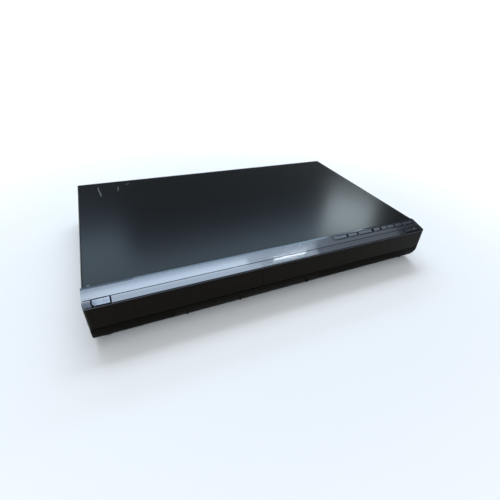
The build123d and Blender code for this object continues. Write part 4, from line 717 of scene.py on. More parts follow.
class Shape:
    """A mesh under construction; each method that draws returns the shape itself."""

    def __init__(self, place: Place = seam) -> None:
        """Starts an empty mesh; place turns the drawing's numbers into a point of the frame."""
        self.mesh = bmesh.new()
        self.place = place

    def vertex(self, a: float, b: float, c: float) -> Vertex:
        """Adds one vertex."""
        return self.mesh.verts.new(self.place(a, b, c))

    def level(self, outline: Sequence[Span], height: float) -> list[Vertex]:
        """Adds the vertices of an outline at one height."""
        return [self.vertex(a, b, height) for a, b in outline]

    def band(self, first: Sequence[Vertex], second: Sequence[Vertex]) -> None:
        """Joins two closed loops of vertices with faces.

        Args:
            first: the first loop; it or the second may be a single point.
            second: the second loop.
        """
        for step in range(max(len(first), len(second))):
            (a, b), (c, d) = (
                (loop[step % len(loop)], loop[(step + 1) % len(loop)]) for loop in (first, second)
            )
            self.mesh.faces.new(list(dict.fromkeys((a, b, d, c))))

    def block(self, a: Span, b: Span, c: Span, ease: float = 0.0) -> Shape:
        """Adds a block between limits in the three directions, with its edges eased.

        Args:
            a: limits in the first direction.
            b: limits in the second direction.
            c: limits in the third direction.
            ease: width of the edges' rounding.

        Returns:
            The shape itself.
        """
        grid = [[[self.vertex(x, y, z) for z in c] for y in b] for x in a]
        faces = []
        for low in (0, 1):
            faces.append([grid[low][0][0], grid[low][0][1], grid[low][1][1], grid[low][1][0]])
            faces.append([grid[0][low][0], grid[1][low][0], grid[1][low][1], grid[0][low][1]])
            faces.append([grid[0][0][low], grid[0][1][low], grid[1][1][low], grid[1][0][low]])
        made = [self.mesh.faces.new(face) for face in faces]
        if ease:
            edges = list({edge for face in made for edge in face.edges})
            rounding = {"offset": ease * MM, "segments": 2, "profile": 0.6, "affect": "EDGES"}
            bmesh.ops.bevel(self.mesh, geom=edges, **rounding)
        return self

    def plate(self, outline: Sequence[Span], low: float, high: float) -> Shape:
        """Adds a flat plate.

        Args:
            outline: its corners.
            low: its lower level.
            high: its upper level.

        Returns:
            The shape itself.
        """
        bottom, top = self.level(outline, low), self.level(outline, high)
        self.mesh.faces.new(bottom[::-1])
        self.mesh.faces.new(top)
        self.band(bottom, top)
        return self

    def frame(self, outer: Sequence[Span], inner: Sequence[Span], low: float, high: float) -> Shape:
        """Adds a flat frame between two outlines.

        Args:
            outer: the outer outline.
            inner: the inner outline, with as many points.
            low: the frame's lower level.
            high: its upper level.

        Returns:
            The shape itself.
        """
        corners = ((outer, low), (outer, high), (inner, high), (inner, low))
        loops = [self.level(outline, height) for outline, height in corners]
        for first, second in zip(loops, loops[1:] + loops[:1]):
            self.band(first, second)
        return self

    def lathe(
        self, profile: Sequence[Span], centre: Point, axis: Axis = Axis.Z, sides: int = 32
    ) -> Shape:
        """Adds a turned form.

        Args:
            profile: (radius, level) of each ring; a radius of 0 closes an end, and a profile
                that ends where it starts makes a closed ring.
            centre: the point on the axis at level 0.
            axis: direction of the axis.
            sides: faces round the form.

        Returns:
            The shape itself.
        """
        rings: list[list[Vertex]] = []
        closed = profile[0] == profile[-1]
        for radius, level in profile[: -1 if closed else None]:
            rings.append([])
            for angle in turn(sides) if radius else (0.0,):
                local = (radius * math.cos(angle), radius * math.sin(angle), level)
                spot = (start + local[k] for start, k in zip(centre, axis.value))
                rings[-1].append(self.vertex(*spot))
        if closed:
            rings.append(rings[0])
        for first, second in zip(rings, rings[1:]):
            self.band(first, second)
        return self

    def wire(self, points: Sequence[Point], radius: float, sides: int = 8) -> Shape:
        """Adds a round wire, closed at both ends.

        Args:
            points: where it runs.
            radius: its radius.
            sides: faces round it.

        Returns:
            The shape itself.
        """
        spots = [Vector(point) for point in points]
        rings: list[list[Vertex]] = []
        side = None
        for before, spot, after in zip(spots[:1] + spots, spots, spots[1:] + spots[-1:]):
            heading = (after - before).normalized()
            side = side - heading * side.dot(heading) if side else heading.orthogonal()
            side.normalize()
            across = heading.cross(side)
            rings.append([])
            for angle in turn(sides):
                offset = side * math.cos(angle) + across * math.sin(angle)
                rings[-1].append(self.vertex(*(spot + offset * radius)))
        for first, second in zip(rings, rings[1:]):
            self.band(first, second)
        self.mesh.faces.new(rings[0][::-1])
        self.mesh.faces.new(rings[-1])
        return self

    def solid(
        self, name: str, material: bpy.types.Material, sharp: float = SHARP_ANGLE
    ) -> bpy.types.Object:
        """Turns the drawing into an object.

        Args:
            name: its name.
            material: its material.
            sharp: angle from which its edges are sharp.

        Returns:
            The new object.
        """
        data = bpy.data.meshes.new(name)
        self.mesh.to_mesh(data)
        self.mesh.free()
        data.shade_smooth()
        data.set_sharp_from_angle(angle=sharp)
        data.materials.append(material)
        made = bpy.data.objects.new(name, data)
        bpy.context.scene.collection.objects.link(made)
        return made


@dataclass
class Part:
    """A sub-assembly: the CAD nodes it dresses and the pieces it adds.

    Attributes:
        made: the pieces that build() has added.
        finishes: finish of each CAD node, the same for every object of the class.
    """

    frame: dict
    made: list[bpy.types.Object] = field(default_factory=list)
    finishes = {}

    def dress(self) -> None:
        """Gives each CAD node of the sub-assembly its finish."""
        for node, finish in self.finishes.items():
            mesh = self.frame["nodes"][node].data
            mesh.materials.clear()
            mesh.materials.append(finish.material())

    def add(
        self, shape: Shape, name: str, slot: str, finish: Finish, body: str = "recorder"
    ) -> None:
        """Makes a piece of a shape and keeps it.

        Args:
            shape: the finished drawing.
            name: the piece's name.
            slot: the record's material slot that it belongs to; not used.
            finish: its finish.
            body: the body that it moves with.
        """
        bmesh.ops.recalc_face_normals(shape.mesh, faces=shape.mesh.faces[:])
        made = shape.solid(name, finish.material())
        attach(made, body)
        self.made.append(made)

    def jack(
        self, name: str, x: float, z: float, insert: Span, washer: Span, colour: Jack
    ) -> None:
        """Adds a phono jack's coloured insert and washer.

        Args:
            name: start of the piece's name, which ends with its colour.
            x: the jack's place across.
            z: its height.
            insert: limits of the insert along Y.
            washer: limits of the washer along Y.
            colour: their colour.
        """
        centre = (x, 0.0, z)
        shape = Shape().lathe(ring(*JACK_INSERT, *insert), centre, Axis.Y)
        shape.lathe(ring(*JACK_WASHER, *washer), centre, Axis.Y)
        self.add(shape, f"{name}_{colour.name.lower()}", "socket_plastic", colour.finish())

    def build(self) -> None:
        """Adds the sub-assembly's own pieces; the plain one adds none."""

    def report(self) -> None:
        """Logs how many CAD nodes the sub-assembly dressed."""
        log.info("%s: %d nodes dressed", type(self).__name__, len(self.finishes))


@dataclass
class Casing(Part):
    """Cover, chassis, rear panel, feet and screws."""

    side_head: float = 214.95
    side_screws: tuple[Span, ...] = ((32.0, 15.0), (222.0, 15.0))
    rear_head: float = 253.8
    rear_screws: tuple[Span, ...] = ((-150.0, 55.0), (0.0, 55.0), (150.0, 55.0))
    cross_arm: float = 1.7
    cross_width: float = 0.42
    cross_taper: float = 0.6
    rear_face: float = 251.2
    print_width: float = 0.45
    print_radius: float = 2.0
    print_groups: tuple[tuple[Span, Span], ...] = (
        ((-5.0, 45.0), (12.5, 48.0)),
        ((52.5, 95.0), (12.5, 48.0)),
        ((177.0, 195.0), (12.5, 51.0)),
    )

    finishes = {
        "top_cover": COVER_PAINT, "chassis_base": ZINC_STEEL, "rear_panel": ZINC_STEEL,
        "feet": FOOT_PLASTIC, "foot_pads": PAD_RUBBER, "case_screws": SCREW_BLACK,
    }

    def cross(self) -> list[Span]:
        """Outline of a cross recess with tapered arms.

        Returns:
            The outline's points.
        """
        tip = self.cross_width * self.cross_taper
        points = [(self.cross_width,) * 2, (tip, self.cross_arm), (-tip, self.cross_arm)]
        for _ in range(3):
            points += [(-b, a) for a, b in points[-3:]]
        return points

    def build(self) -> None:
        """Adds painted shade in the screws' cross recesses, and the frames printed on the rear."""
        for name, place, screws, head, height in (
            ("left", lambda a, b, c: seam(-c, a, b), self.side_screws, self.side_head, 0.03),
            ("right", lambda a, b, c: seam(c, a, b), self.side_screws, self.side_head, 0.03),
            ("rear", lambda a, b, c: seam(a, c, b), self.rear_screws, self.rear_head, 0.04),
        ):
            shape = Shape(place)
            for x, y in screws:
                outline = [(x + a, y + b) for a, b in self.cross()]
                # A dark cross plate on the head: painted shade in the recess.
                shape.plate(outline, head - 0.01, head + height)
            self.add(shape, f"{name}_screw_crosses", "screw_black", SHADE_AND_PRINT_LINE)
        shape = Shape(lambda a, b, c: seam(a, c, b))
        width, radius = self.print_width, self.print_radius
        for x, z in self.print_groups:
            inner = rounded(wider(x, -width), wider(z, -width), radius - width)
            high = self.rear_face + LINE_HEIGHT
            shape.frame(rounded(x, z, radius), inner, self.rear_face, high)
        self.add(shape, "rear_print", "zinc_steel", SHADE_AND_PRINT_LINE)


@dataclass
class FrontPanel(Part):
    """Front moulding, trim, gloss plates, flap, keys and buttons."""

    groove: Span = (-14.02, -13.27)
    groove_end: float = 213.8
    nose_line: Span = (-22.95, -22.25)
    nose_end: float = 213.0
    nose_height: float = 0.03
    thin: float = 0.1
    key_limits: tuple[Span, ...] = (
        (72.4, 93.0), (95.7, 110.1), (112.4, 134.6), (138.5, 148.7),
        (151.6, 161.6), (163.2, 174.1), (176.6, 188.9), (191.1, 209.6),
    )
    key_along: Span = (-6.6, -1.1)
    key_radii: tuple[float, ...] = (0.5,) * 4
    gap: float = 0.3
    key_line: float = 0.4
    button_line: float = 0.9
    power: tuple[Span, Span] = ((-206.5, -191.0), (-22.0, -14.35))
    power_radii: tuple[float, ...] = (3.0, 0.4, 0.4, 0.4)
    power_arc: tuple[float, ...] = (1.45, 1.15)
    power_gap: float = 72.0
    open: tuple[Span, Span] = ((184.0, 208.0), (-20.2, -14.4))
    open_radii: tuple[float, ...] = (1.0, 0.4, 0.4, 0.4)
    open_half: float = 1.4
    mark: Span = (0.35, 0.39)
    jack_x: tuple[float, ...] = (-112.0, -96.0, -80.0)
    jack_z: float = 17.0
    jack_face: float = -12.2
    jack_tip: float = -18.2
    usb_x: float = -40.0
    usb_blades: tuple[float, ...] = (-3.5, -1.2, 1.2, 3.5)
    card_x: float = 8.0
    card_pitch: float = 2.4

    finishes = {
        "front_panel": PANEL_PLASTIC, "nose_trim": TRIM_LACQUER, "display_window": GLOSS_BLACK,
        "side_window": GLOSS_BLACK, "tray_front": GLOSS_BLACK, "jack_flap": STRIP_PLASTIC,
        "power_button": BUTTON_GREY, "open_button": BUTTON_GREY, "front_boards": BOARD_GREEN,
        "key_switches": CHIP_BLACK, "display_board": BOARD_GREEN, "display_tube": TUBE_GLASS,
        "front_jacks": FRONT_JACK, "usb_socket": SHELL_METAL, "card_slot": SHELL_METAL,
        "front_ribbon": CABLE_WHITE, **{f"key_{number}": KEY_CAP for number in range(1, 9)},
    }

    def trim_lines(self) -> None:
        """Painted shade lines: in the groove of the trim's joint with the upper band, and along its
        rounded lower edge.
        """
        shape = Shape(slope)
        for along, end, height in (
            (self.groove, self.groove_end, LINE_HEIGHT),
            (self.nose_line, self.nose_end, self.nose_height),
        ):
            # Each line is a dark plate on the slope: painted shade.
            shape.plate(rounded((-end, end), along, self.thin, 2), 0.0, height)
        self.add(shape, "trim_groove", "panel_plastic", SHADE_AND_PRINT_LINE)

    def outline(
        self, shape: Shape, x: Span, along: Span, radii: Sequence[float], line: float
    ) -> None:
        """Adds the painted shade line in the gap round one key or button.

        Args:
            shape: the drawing that it is added to.
            x: limits of the key across.
            along: its limits along the slope.
            radii: radii of its corners.
            line: width of the line.
        """
        outer, inner = (
            rounded(wider(x, out), wider(along, out), [radius + out for radius in radii])
            for out in (self.gap + line, self.gap)
        )
        shape.frame(outer, inner, 0.0, LINE_HEIGHT)

    def button_lines(self) -> None:
        """Painted shade in the gaps round the keys and the two buttons, and in notches between the
        keys.
        """
        shape = Shape(slope)
        # Dark frames and notch plates: painted shade in the gaps.
        for x in self.key_limits:
            self.outline(shape, x, self.key_along, self.key_radii, self.key_line)
        inset = self.gap + self.key_line
        for before, after in zip(self.key_limits, self.key_limits[1:]):
            low, high = before[1] + inset, after[0] - inset
            if high - low > self.gap:
                notch = rounded((low, high), self.key_along, self.thin, 2)
                shape.plate(notch, 0.0, LINE_HEIGHT)
        self.outline(shape, *self.power, self.power_radii, self.button_line)
        self.outline(shape, *self.open, self.open_radii, self.button_line)
        self.add(shape, "button_lines", "panel_plastic", SHADE_AND_PRINT_LINE)

    def power_mark(self) -> None:
        """Ring with an upright bar, the usual standby mark."""
        x, y = self.power[0][1] - 4.2, sum(self.power[1]) / 2
        steps = 18
        first, sweep = 90.0 + self.power_gap / 2, 360.0 - self.power_gap
        angles = [math.radians(first + sweep * k / steps) for k in range(steps + 1)]
        arc, back = (
            [(x + radius * math.cos(t), y + radius * math.sin(t)) for t in angles]
            for radius in self.power_arc
        )
        shape = Shape(slope).plate(arc + back[::-1], *self.mark)
        left, right = about(x, 0.15)
        foot, head = y + 0.3, y + 1.75
        shape.plate([(left, foot), (right, foot), (right, head), (left, head)], *self.mark)
        self.add(shape, "power_mark", "button_grey", PRINT_GREY, "power_button_body")

    def open_mark(self) -> None:
        """Triangle over a bar, the usual mark of the tray's button."""
        x, y = sum(self.open[0]) / 2 + 5.0, sum(self.open[1]) / 2
        left, right = about(x, self.open_half)
        foot = y - 0.2
        shape = Shape(slope).plate([(left, foot), (right, foot), (x, y + 1.3)], *self.mark)
        shape.plate(rounded((left, right), (y - 1.1, y - 0.65), 0.05, 2), *self.mark)
        self.add(shape, "open_mark", "button_grey", PRINT_GREY, "open_button_body")

    def contacts(self) -> None:
        """Gold contacts of the USB socket and the card slot."""
        shape = Shape()
        for step in self.usb_blades:
            z = (self.jack_z + 0.36, self.jack_z + 0.52)
            shape.block(about(self.usb_x + step, 0.5), (-10.6, -3.5), z, 0.04)
        for number in range(-4, 5):
            x, z = self.card_x + self.card_pitch * number, (self.jack_z - 1.32, self.jack_z - 1.1)
            shape.block(about(x, 0.5), (-9.0, -1.0), z, 0.05)
        self.add(shape, "front_contacts", "shell_metal", GOLD_PLATE)

    def build(self) -> None:
        """Adds the painted shade lines of the joints and gaps, the marks, the jacks' inserts and
        the contacts.
        """
        self.trim_lines()
        self.button_lines()
        self.power_mark()
        self.open_mark()
        insert = (self.jack_tip - 0.06, self.jack_tip + 0.02)
        washer = (self.jack_face - 0.6, self.jack_face)
        for x, colour in zip(self.jack_x, (Jack.YELLOW, Jack.WHITE, Jack.RED)):
            self.jack("front_jack", x, self.jack_z, insert, washer, colour)
        self.contacts()


@dataclass
class DiscDrive(Part):
    """Tray with its loading gear, spindle, pickup and drive housing."""

    x: float = -103.0
    disc_y: float = 45.0
    turntable_top: float = 30.5
    cone_top: float = 34.1
    lens_y: float = 70.0
    lens: tuple[Span, ...] = ((0.0, 32.15), (0.9, 32.08), (1.7, 31.88), (2.3, 31.62), (0.0, 31.58))
    sled_top: float = 30.5
    lid_top: float = 52.0
    clamp_top: float = 52.65
    lid_screws: tuple[Span, ...] = ((-168.0, 14.0), (-38.0, 14.0), (-168.0, 168.0), (-38.0, 168.0))
    screw: tuple[Span, ...] = ((3.0, 0.0), (3.0, 0.5), (2.3, 1.1), (1.0, 1.4), (0.0, 1.45))
    cap: tuple[Span, ...] = ((0.0, 0.55), (1.4, 0.5), (2.4, 0.2), (2.7, -0.1), (0.0, -0.1))

    finishes = {
        "disc_tray": TRAY_PLASTIC, "drive_base": DRIVE_PLASTIC, "drive_cover": ZINC_STEEL,
        "disc_clamp": DRIVE_PLASTIC, "traverse_base": DRIVE_PLASTIC, "guide_rods": GROUND_STEEL,
        "turntable": DRIVE_PLASTIC, "pickup_sled": PICKUP_DARK, "loading_gear": GEAR_WHITE,
        "motor_pulley": GEAR_WHITE, "loading_motor": MOTOR_STEEL, "loading_belt": BELT_RUBBER,
    }

    def spindle(self) -> None:
        """Rubber ring and plated cap of the turntable."""
        centre, low = (self.x, self.disc_y, 0.0), self.turntable_top
        shape = Shape().lathe(ring(10.2, 13.8, low, low + 0.5), centre, sides=48)
        self.add(shape, "turntable_ring", "pad_rubber", PAD_RUBBER, "spindle")
        shape = Shape().lathe(self.cap, (self.x, self.disc_y, self.cone_top))
        self.add(shape, "spindle_cap", "ground_steel", NICKEL, "spindle")

    def pickup(self) -> None:
        """Lens, its magnets and coil on the sled."""
        centre = (self.x, self.lens_y, 0.0)
        shape = Shape().lathe(self.lens, centre)
        self.add(shape, "pickup_lens", "pickup_dark", LENS_BLUE, "pickup")
        shape = Shape()
        for side in (-5.9, 5.9):
            y = about(self.lens_y + side, 0.9)
            shape.block(about(self.x, 5.0), y, (self.sled_top, 33.0), 0.2)
        self.add(shape, "pickup_magnets", "ground_steel", NICKEL, "pickup")
        shape = Shape().lathe(ring(3.6, 4.3, self.sled_top, self.sled_top + 1.3), centre)
        self.add(shape, "pickup_coil", "pickup_dark", COPPER_WIRE, "pickup")

    def build(self) -> None:
        """Adds the spindle's and the pickup's pieces, the lid's screws and the clamp's plate."""
        self.spindle()
        self.pickup()
        shape = Shape()
        for x, y in self.lid_screws:
            shape.lathe(self.screw, (x, y, self.lid_top), sides=24)
        self.add(shape, "lid_screws", "screw_black", SCREW_BLACK)
        centre, low = (self.x, self.disc_y, 0.0), self.clamp_top
        shape = Shape().lathe(ring(2.2, 9.0, low, low + 0.6), centre, sides=48)
        self.add(shape, "clamp_plate", "zinc_steel", ZINC_STEEL, "clamp")


@dataclass
class Electronics(Part):
    """Hard disk, boards, power supply, fan and rear sockets.

    Attributes:
        chips: x, y and half the width of each chip.
        capacitors: x, y, radius and height of each capacitor.
        plugs: x, y and half the length of each plug.
        small_parts: name, number and finish of the parts scattered over the main board.
    """

    board_top: float = 15.6
    chips: tuple[Point, ...] = (
        (66.0, 190.0, 14.0), (20.0, 160.0, 10.0), (20.0, 190.0, 8.0),
        (104.0, 205.0, 6.0), (40.0, 130.0, 9.0), (130.0, 190.0, 8.0),
    )
    lead_pitch: float = 1.2
    lead_half: float = 0.22
    lead_length: float = 1.5
    capacitors: tuple[tuple[float, float, float, float], ...] = (
        (-162.0, 200.0, 11.0, 32.0), (-162.0, 234.0, 5.0, 20.0), (-148.0, 236.0, 5.0, 20.0),
        (-78.0, 232.0, 5.0, 20.0), (-92.0, 193.0, 6.5, 25.0), (-76.0, 193.0, 5.0, 20.0),
    )
    plugs: tuple[Point, ...] = (
        (-12.0, 232.0, 4.0), (5.0, 108.0, 8.0), (150.0, 168.0, 9.0), (-104.0, 240.0, 7.0)
    )
    small_parts: tuple[tuple[str, int, Finish], ...] = (
        ("board_resistors", 90, RESISTOR_BLACK), ("board_ceramics", 110, CERAMIC_TAN)
    )
    small_sizes: tuple[Span, ...] = ((1.0, 0.5), (0.5, 1.0), (1.6, 0.8))
    transformer: Span = (-120.0, 214.0)
    choke: Span = (-190.0, 206.0)
    choke_radius: float = 6.5
    choke_turns: int = 26
    phono_x: tuple[float, ...] = (4.0, 20.0, 36.0)
    phono_z: Span = (21.5, 38.5)
    phono_face: float = 252.0
    phono_tip: float = 259.6
    aerial_x: float = 186.0
    aerial_tip: float = 259.8
    socket_21_x: float = 128.0
    socket_21_z: Span = (24.2, 42.2)
    socket_21_back: float = 246.1
    network: Span = (84.0, 23.4)
    network_wire: tuple[Span, ...] = ((251.4, 4.1), (246.5, 2.6), (241.5, 1.2), (239.1, 1.0))
    digital: Span = (62.0, 20.0)
    optical: Span = (62.0, 38.0)
    inlet: Span = (-186.0, 26.0)
    pin: tuple[Span, ...] = ((1.3, 238.7), (1.3, 248.6), (1.0, 249.1), (0.5, 249.35), (0.0, 249.4))
    disk_top: float = 53.1
    disk_screws: tuple[tuple[float, ...], tuple[float, ...]] = ((94.5, 183.0), (18.5, 85.0, 152.5))
    screw: tuple[Span, ...] = (
        (2.1, 0.0), (2.1, 0.35), (1.7, 0.6), (0.9, 0.6), (0.8, 0.2), (0.0, 0.2)
    )

    finishes = {
        "hard_disk": DISK_ALUMINIUM, "disk_bracket": ZINC_STEEL, "disk_mounts": PAD_RUBBER,
        "supply_board": BOARD_GREEN, "transformer": FERRITE, "capacitors": CAN_SLEEVE,
        "heat_sinks": SINK_ALUMINIUM, "mains_inlet": SOCKET_PLASTIC, "main_board": BOARD_GREEN,
        "board_chips": CHIP_BLACK, "fan_frame": FAN_BLACK, "fan_rotor": FAN_BLACK,
        "rear_phono_jacks": REAR_JACK, "hdmi_socket": SHELL_METAL,
        "optical_socket": SOCKET_PLASTIC, "network_socket": SOCKET_PLASTIC,
        "sockets_21": SOCKET_PLASTIC, "tuner_can": SHELL_METAL,
    }

    def round_sockets(self) -> None:
        """Coloured inserts of the six phono jacks and white insulators of the aerial connectors."""
        insert = (self.phono_tip - 0.02, self.phono_tip + 0.06)
        washer = (self.phono_face, self.phono_face + 0.6)
        for row, z, colours in (
            ("lower", self.phono_z[0], (Jack.GREEN, Jack.BLUE, Jack.RED)),
            ("upper", self.phono_z[1], (Jack.YELLOW, Jack.WHITE, Jack.RED)),
        ):
            for x, colour in zip(self.phono_x, colours):
                self.jack(f"rear_jack_{row}", x, z, insert, washer, colour)
        x, tip = self.aerial_x, self.aerial_tip
        shape = Shape().lathe(ring(1.3, 3.9, tip - 0.1, tip - 0.001), (x, 0.0, 21.0), Axis.Y)
        shape.lathe(ring(1.2, 3.75, 252.05, 252.9), (x, 0.0, 43.0), Axis.Y)
        self.add(shape, "aerial_inserts", "socket_plastic", LABEL_WHITE)

    def socket_21_contacts(self) -> None:
        """Two rows of blades in each 21-pin socket."""
        shape = Shape()
        y = (self.socket_21_back, self.socket_21_back + 5.2)
        for centre in self.socket_21_z:
            for row, start, count in ((-1.9, -16.1, 10), (1.9, -14.4, 9)):
                for number in range(count):
                    x = self.socket_21_x + start + 3.4 * number
                    shape.block(about(x, 0.8), y, about(centre + row, 0.25), 0.08)
        self.add(shape, "socket_21_contacts", "shell_metal", GOLD_PLATE)

    def network_fittings(self) -> None:
        """Sprung contacts and two lights of the network socket."""
        x, z = self.network
        shape = Shape()
        for number in range(8):
            at = x - 3.57 + 1.02 * number
            shape.wire([(at, y, z + rise) for y, rise in self.network_wire], 0.2)
        self.add(shape, "network_contacts", "shell_metal", GOLD_PLATE)
        for side, colour in ((-5.6, Jack.GREEN), (5.6, Jack.YELLOW)):
            shape = Shape().block(about(x + side, 1.4), (252.15, 252.32), (z + 5.0, z + 6.3), 0.06)
            name = f"network_light_{colour.name.lower()}"
            self.add(shape, name, "socket_plastic", colour.finish())

    def digital_fittings(self) -> None:
        """Contacts of the digital video socket and the optical socket's shutter."""
        x, z = self.digital
        shape = Shape()
        for number in range(10):
            limits = about(x - 4.5 + 1.0 * number, 0.22)
            shape.block(limits, (243.0, 250.4), (z + 0.98, z + 1.08), 0.02)
        self.add(shape, "digital_contacts", "shell_metal", GOLD_PLATE)
        x, z = self.optical
        shape = Shape().block(about(x, 2.9), (251.15, 251.6), (z - 3.1, z + 2.3), 0.2)
        shape.block(about(x, 1.2), (251.55, 251.8), (z - 0.2, z + 0.1), 0.08)
        self.add(shape, "optical_shutter", "socket_plastic", RESISTOR_BLACK)

    def inlet_pins(self) -> None:
        """Plated sleeves of the mains inlet's two pins."""
        x, z = self.inlet
        shape = Shape()
        for side in (-4.3, 4.3):
            shape.lathe(self.pin, (x + side, 0.0, z), Axis.Y, 20)
        self.add(shape, "inlet_pins", "shell_metal", NICKEL)

    def chip_leads(self) -> None:
        """Leads along the four sides of every chip."""
        shape = Shape()
        z = (self.board_top, self.board_top + 0.25)
        for x, y, half in self.chips:
            row = 2 * half - 2.0
            count = int(row / self.lead_pitch)
            for number in range(count + 1):
                shift = -half + 1.0 + number * row / count
                for side in (-1, 1):
                    reach = side * (half + self.lead_length / 2)
                    long, wide = self.lead_length / 2, self.lead_half
                    shape.block(about(x + reach, long), about(y + shift, wide), z)
                    shape.block(about(x + shift, wide), about(y + reach, long), z)
        self.add(shape, "chip_leads", "shell_metal", NICKEL)

    def free_place(self, dice: random.Random) -> Span:
        """Point of the main board clear of the chips, sockets and cradle.

        Args:
            dice: source of the random places.

        Returns:
            The point's x and y.
        """
        while True:
            x, y = dice.uniform(-12.0, 170.0), dice.uniform(166.0, 228.0)
            if all(max(abs(x - a), abs(y - b)) > half + 4.0 for a, b, half in self.chips):
                return x, y

    def scatter(self) -> None:
        """Resistors and ceramic capacitors scattered over the main board."""
        dice = random.Random(7)
        z = (self.board_top, self.board_top + 0.7)
        for name, count, finish in self.small_parts:
            shape = Shape()
            for _ in range(count):
                x, y = self.free_place(dice)
                long, short = dice.choice(self.small_sizes)
                shape.block(about(x, long), about(y, short), z, 0.1)
            self.add(shape, name, "chip_black", finish)

    def capacitor_tops(self) -> None:
        """Bare aluminium tops of the capacitors."""
        shape = Shape()
        for x, y, radius, height in self.capacitors:
            inner = radius * 0.88
            profile = [(0.0, 0.06), (inner - 0.4, 0.06), (inner, 0.3), (inner, 0.0)]
            shape.lathe(profile, (x, y, self.board_top + height), sides=36)
        self.add(shape, "capacitor_tops", "sink_aluminium", SINK_ALUMINIUM)

    def loop(self, radius: float) -> list[Span]:
        """Closed circle round the choke's core, as distances from its axis and its middle."""
        points = [
            (self.choke_radius + radius * math.cos(t), radius * math.sin(t)) for t in turn(12)
        ]
        return points + points[:1]

    def windings(self) -> None:
        """Tape round the transformer's coil, and a choke beside it."""
        x, y = self.transformer
        shape = Shape().lathe(ring(10.4, 10.95, 21.2, 36.0), (x, y, 0.0), sides=40)
        self.add(shape, "transformer_tape", "ferrite", TAPE_YELLOW)
        x, y = self.choke
        middle = self.board_top + 9.5
        shape = Shape().lathe(self.loop(2.3), (x, y, middle), sides=36)
        self.add(shape, "choke_core", "ferrite", FERRITE)
        shape = Shape()
        for angle in turn(self.choke_turns):
            cosine, sine = math.cos(angle), math.sin(angle)
            points = [(x + a * cosine, y + a * sine, middle + b) for a, b in self.loop(2.8)]
            shape.wire(points, 0.42, 6)
        self.add(shape, "choke_winding", "ferrite", COPPER_WIRE)

    def connectors(self) -> None:
        """Pale plug housings on the two boards."""
        shape = Shape()
        top = self.board_top + 6.5
        for x, y, half in self.plugs:
            shape.block(about(x, half), about(y, 2.8), (self.board_top, top), 0.3)
            shape.block(about(x, half - 0.8), about(y, 1.8), (top - 0.1, top + 1.6), 0.3)
        self.add(shape, "board_plugs", "cable_white", CABLE_WHITE)

    def disk_fittings(self) -> None:
        """Blank label and screws on the hard disk's lid."""
        top = self.disk_top
        label = rounded((100.0, 178.0), (22.0, 88.0), 2.0)
        shape = Shape().plate(label, top - 0.02, top + 0.06)
        self.add(shape, "disk_label", "disk_aluminium", LABEL_WHITE)
        shape = Shape()
        for x in self.disk_screws[0]:
            for y in self.disk_screws[1]:
                shape.lathe(self.screw, (x, y, top), sides=24)
        self.add(shape, "disk_screws", "screw_black", NICKEL)

    def build(self) -> None:
        """Adds the rear sockets' fittings and the boards' small parts."""
        self.round_sockets()
        self.socket_21_contacts()
        self.network_fittings()
        self.digital_fittings()
        self.inlet_pins()
        self.chip_leads()
        self.scatter()
        self.capacitor_tops()
        self.windings()
        self.connectors()
        self.disk_fittings()


class Tint(Enum):
    """Colours of the lamps."""

    PALE = (0.88, 0.95, 1.0)
    COOL = (0.80, 0.92, 1.04)
    BLUE = (0.58, 0.80, 1.0)
    WINDOW = (0.80, 0.95, 1.02)


@dataclass(frozen=True)
class Lamp:
    """A rectangular soft lamp.

    Attributes:
        name: its name.
        place: where it hangs.
        size: width and height.
        watts: its power.
        tint: its colour.
        target: the point it faces, unless it hangs straight over it.
    """

    name: str
    place: Point
    size: Span
    watts: float
    tint: Tint = Tint.PALE
    target: Point | None = None

    def hang(self) -> None:
        """Adds the lamp to the scene."""
        data = bpy.data.lights.new(self.name, "AREA")
        data.shape = "RECTANGLE"
        data.size, data.size_y = self.size
        data.energy = self.watts
        data.color = self.tint.value
        lamp = bpy.data.objects.new(self.name, data)
        bpy.context.scene.collection.objects.link(lamp)
        lamp.location = self.place
        aim = Vector(self.target or (*self.place[:2], 0.0)) - Vector(self.place)
        lamp.rotation_euler = aim.to_track_quat("-Z", "Y").to_euler()


LAMPS = (
    Lamp("overhead", (-0.10, 1.18, 2.0), (1.9, 0.64), 10.0, Tint.COOL),
    Lamp("overhead_end", (1.125, 1.18, 2.0), (0.55, 0.64), 2.4, Tint.COOL),
    Lamp("overhead_far", (1.85, 1.0, 2.0), (0.9, 0.9), 1.7, Tint.COOL),
    Lamp("band", (-0.10, 0.83, 2.0), (1.6, 0.06), 3.0, Tint.COOL),
    Lamp("band_end", (1.025, 0.83, 2.0), (0.65, 0.06), 0.42, Tint.COOL),
    Lamp("nose", (0.19, 0.675, 2.0), (1.22, 0.25), 5.2, Tint.COOL),
    Lamp("nose_end", (1.075, 0.675, 2.0), (0.55, 0.25), 1.5, Tint.COOL),
    Lamp("high_rear", (1.00, 2.36, 2.0), (2.3, 0.40), 9.5, Tint.BLUE, (1.00, 0.0, 0.0)),
    Lamp("rear_left", (-0.64, 2.68, 2.0), (1.0, 0.70), 6.2, Tint.BLUE, (-0.64, 0.0, 0.0)),
    Lamp("glint", (1.07, 0.787, 1.98), (0.30, 0.007), 0.4),
    Lamp("window", (2.14, 2.1, 1.58), (0.50, 0.42), 4.5, Tint.WINDOW, (0.1, 0.0, 0.05)),
    Lamp("fill", (-1.2, -2.2, 1.6), (1.4, 1.4), 33.0, Tint.PALE, ORIGIN),
)


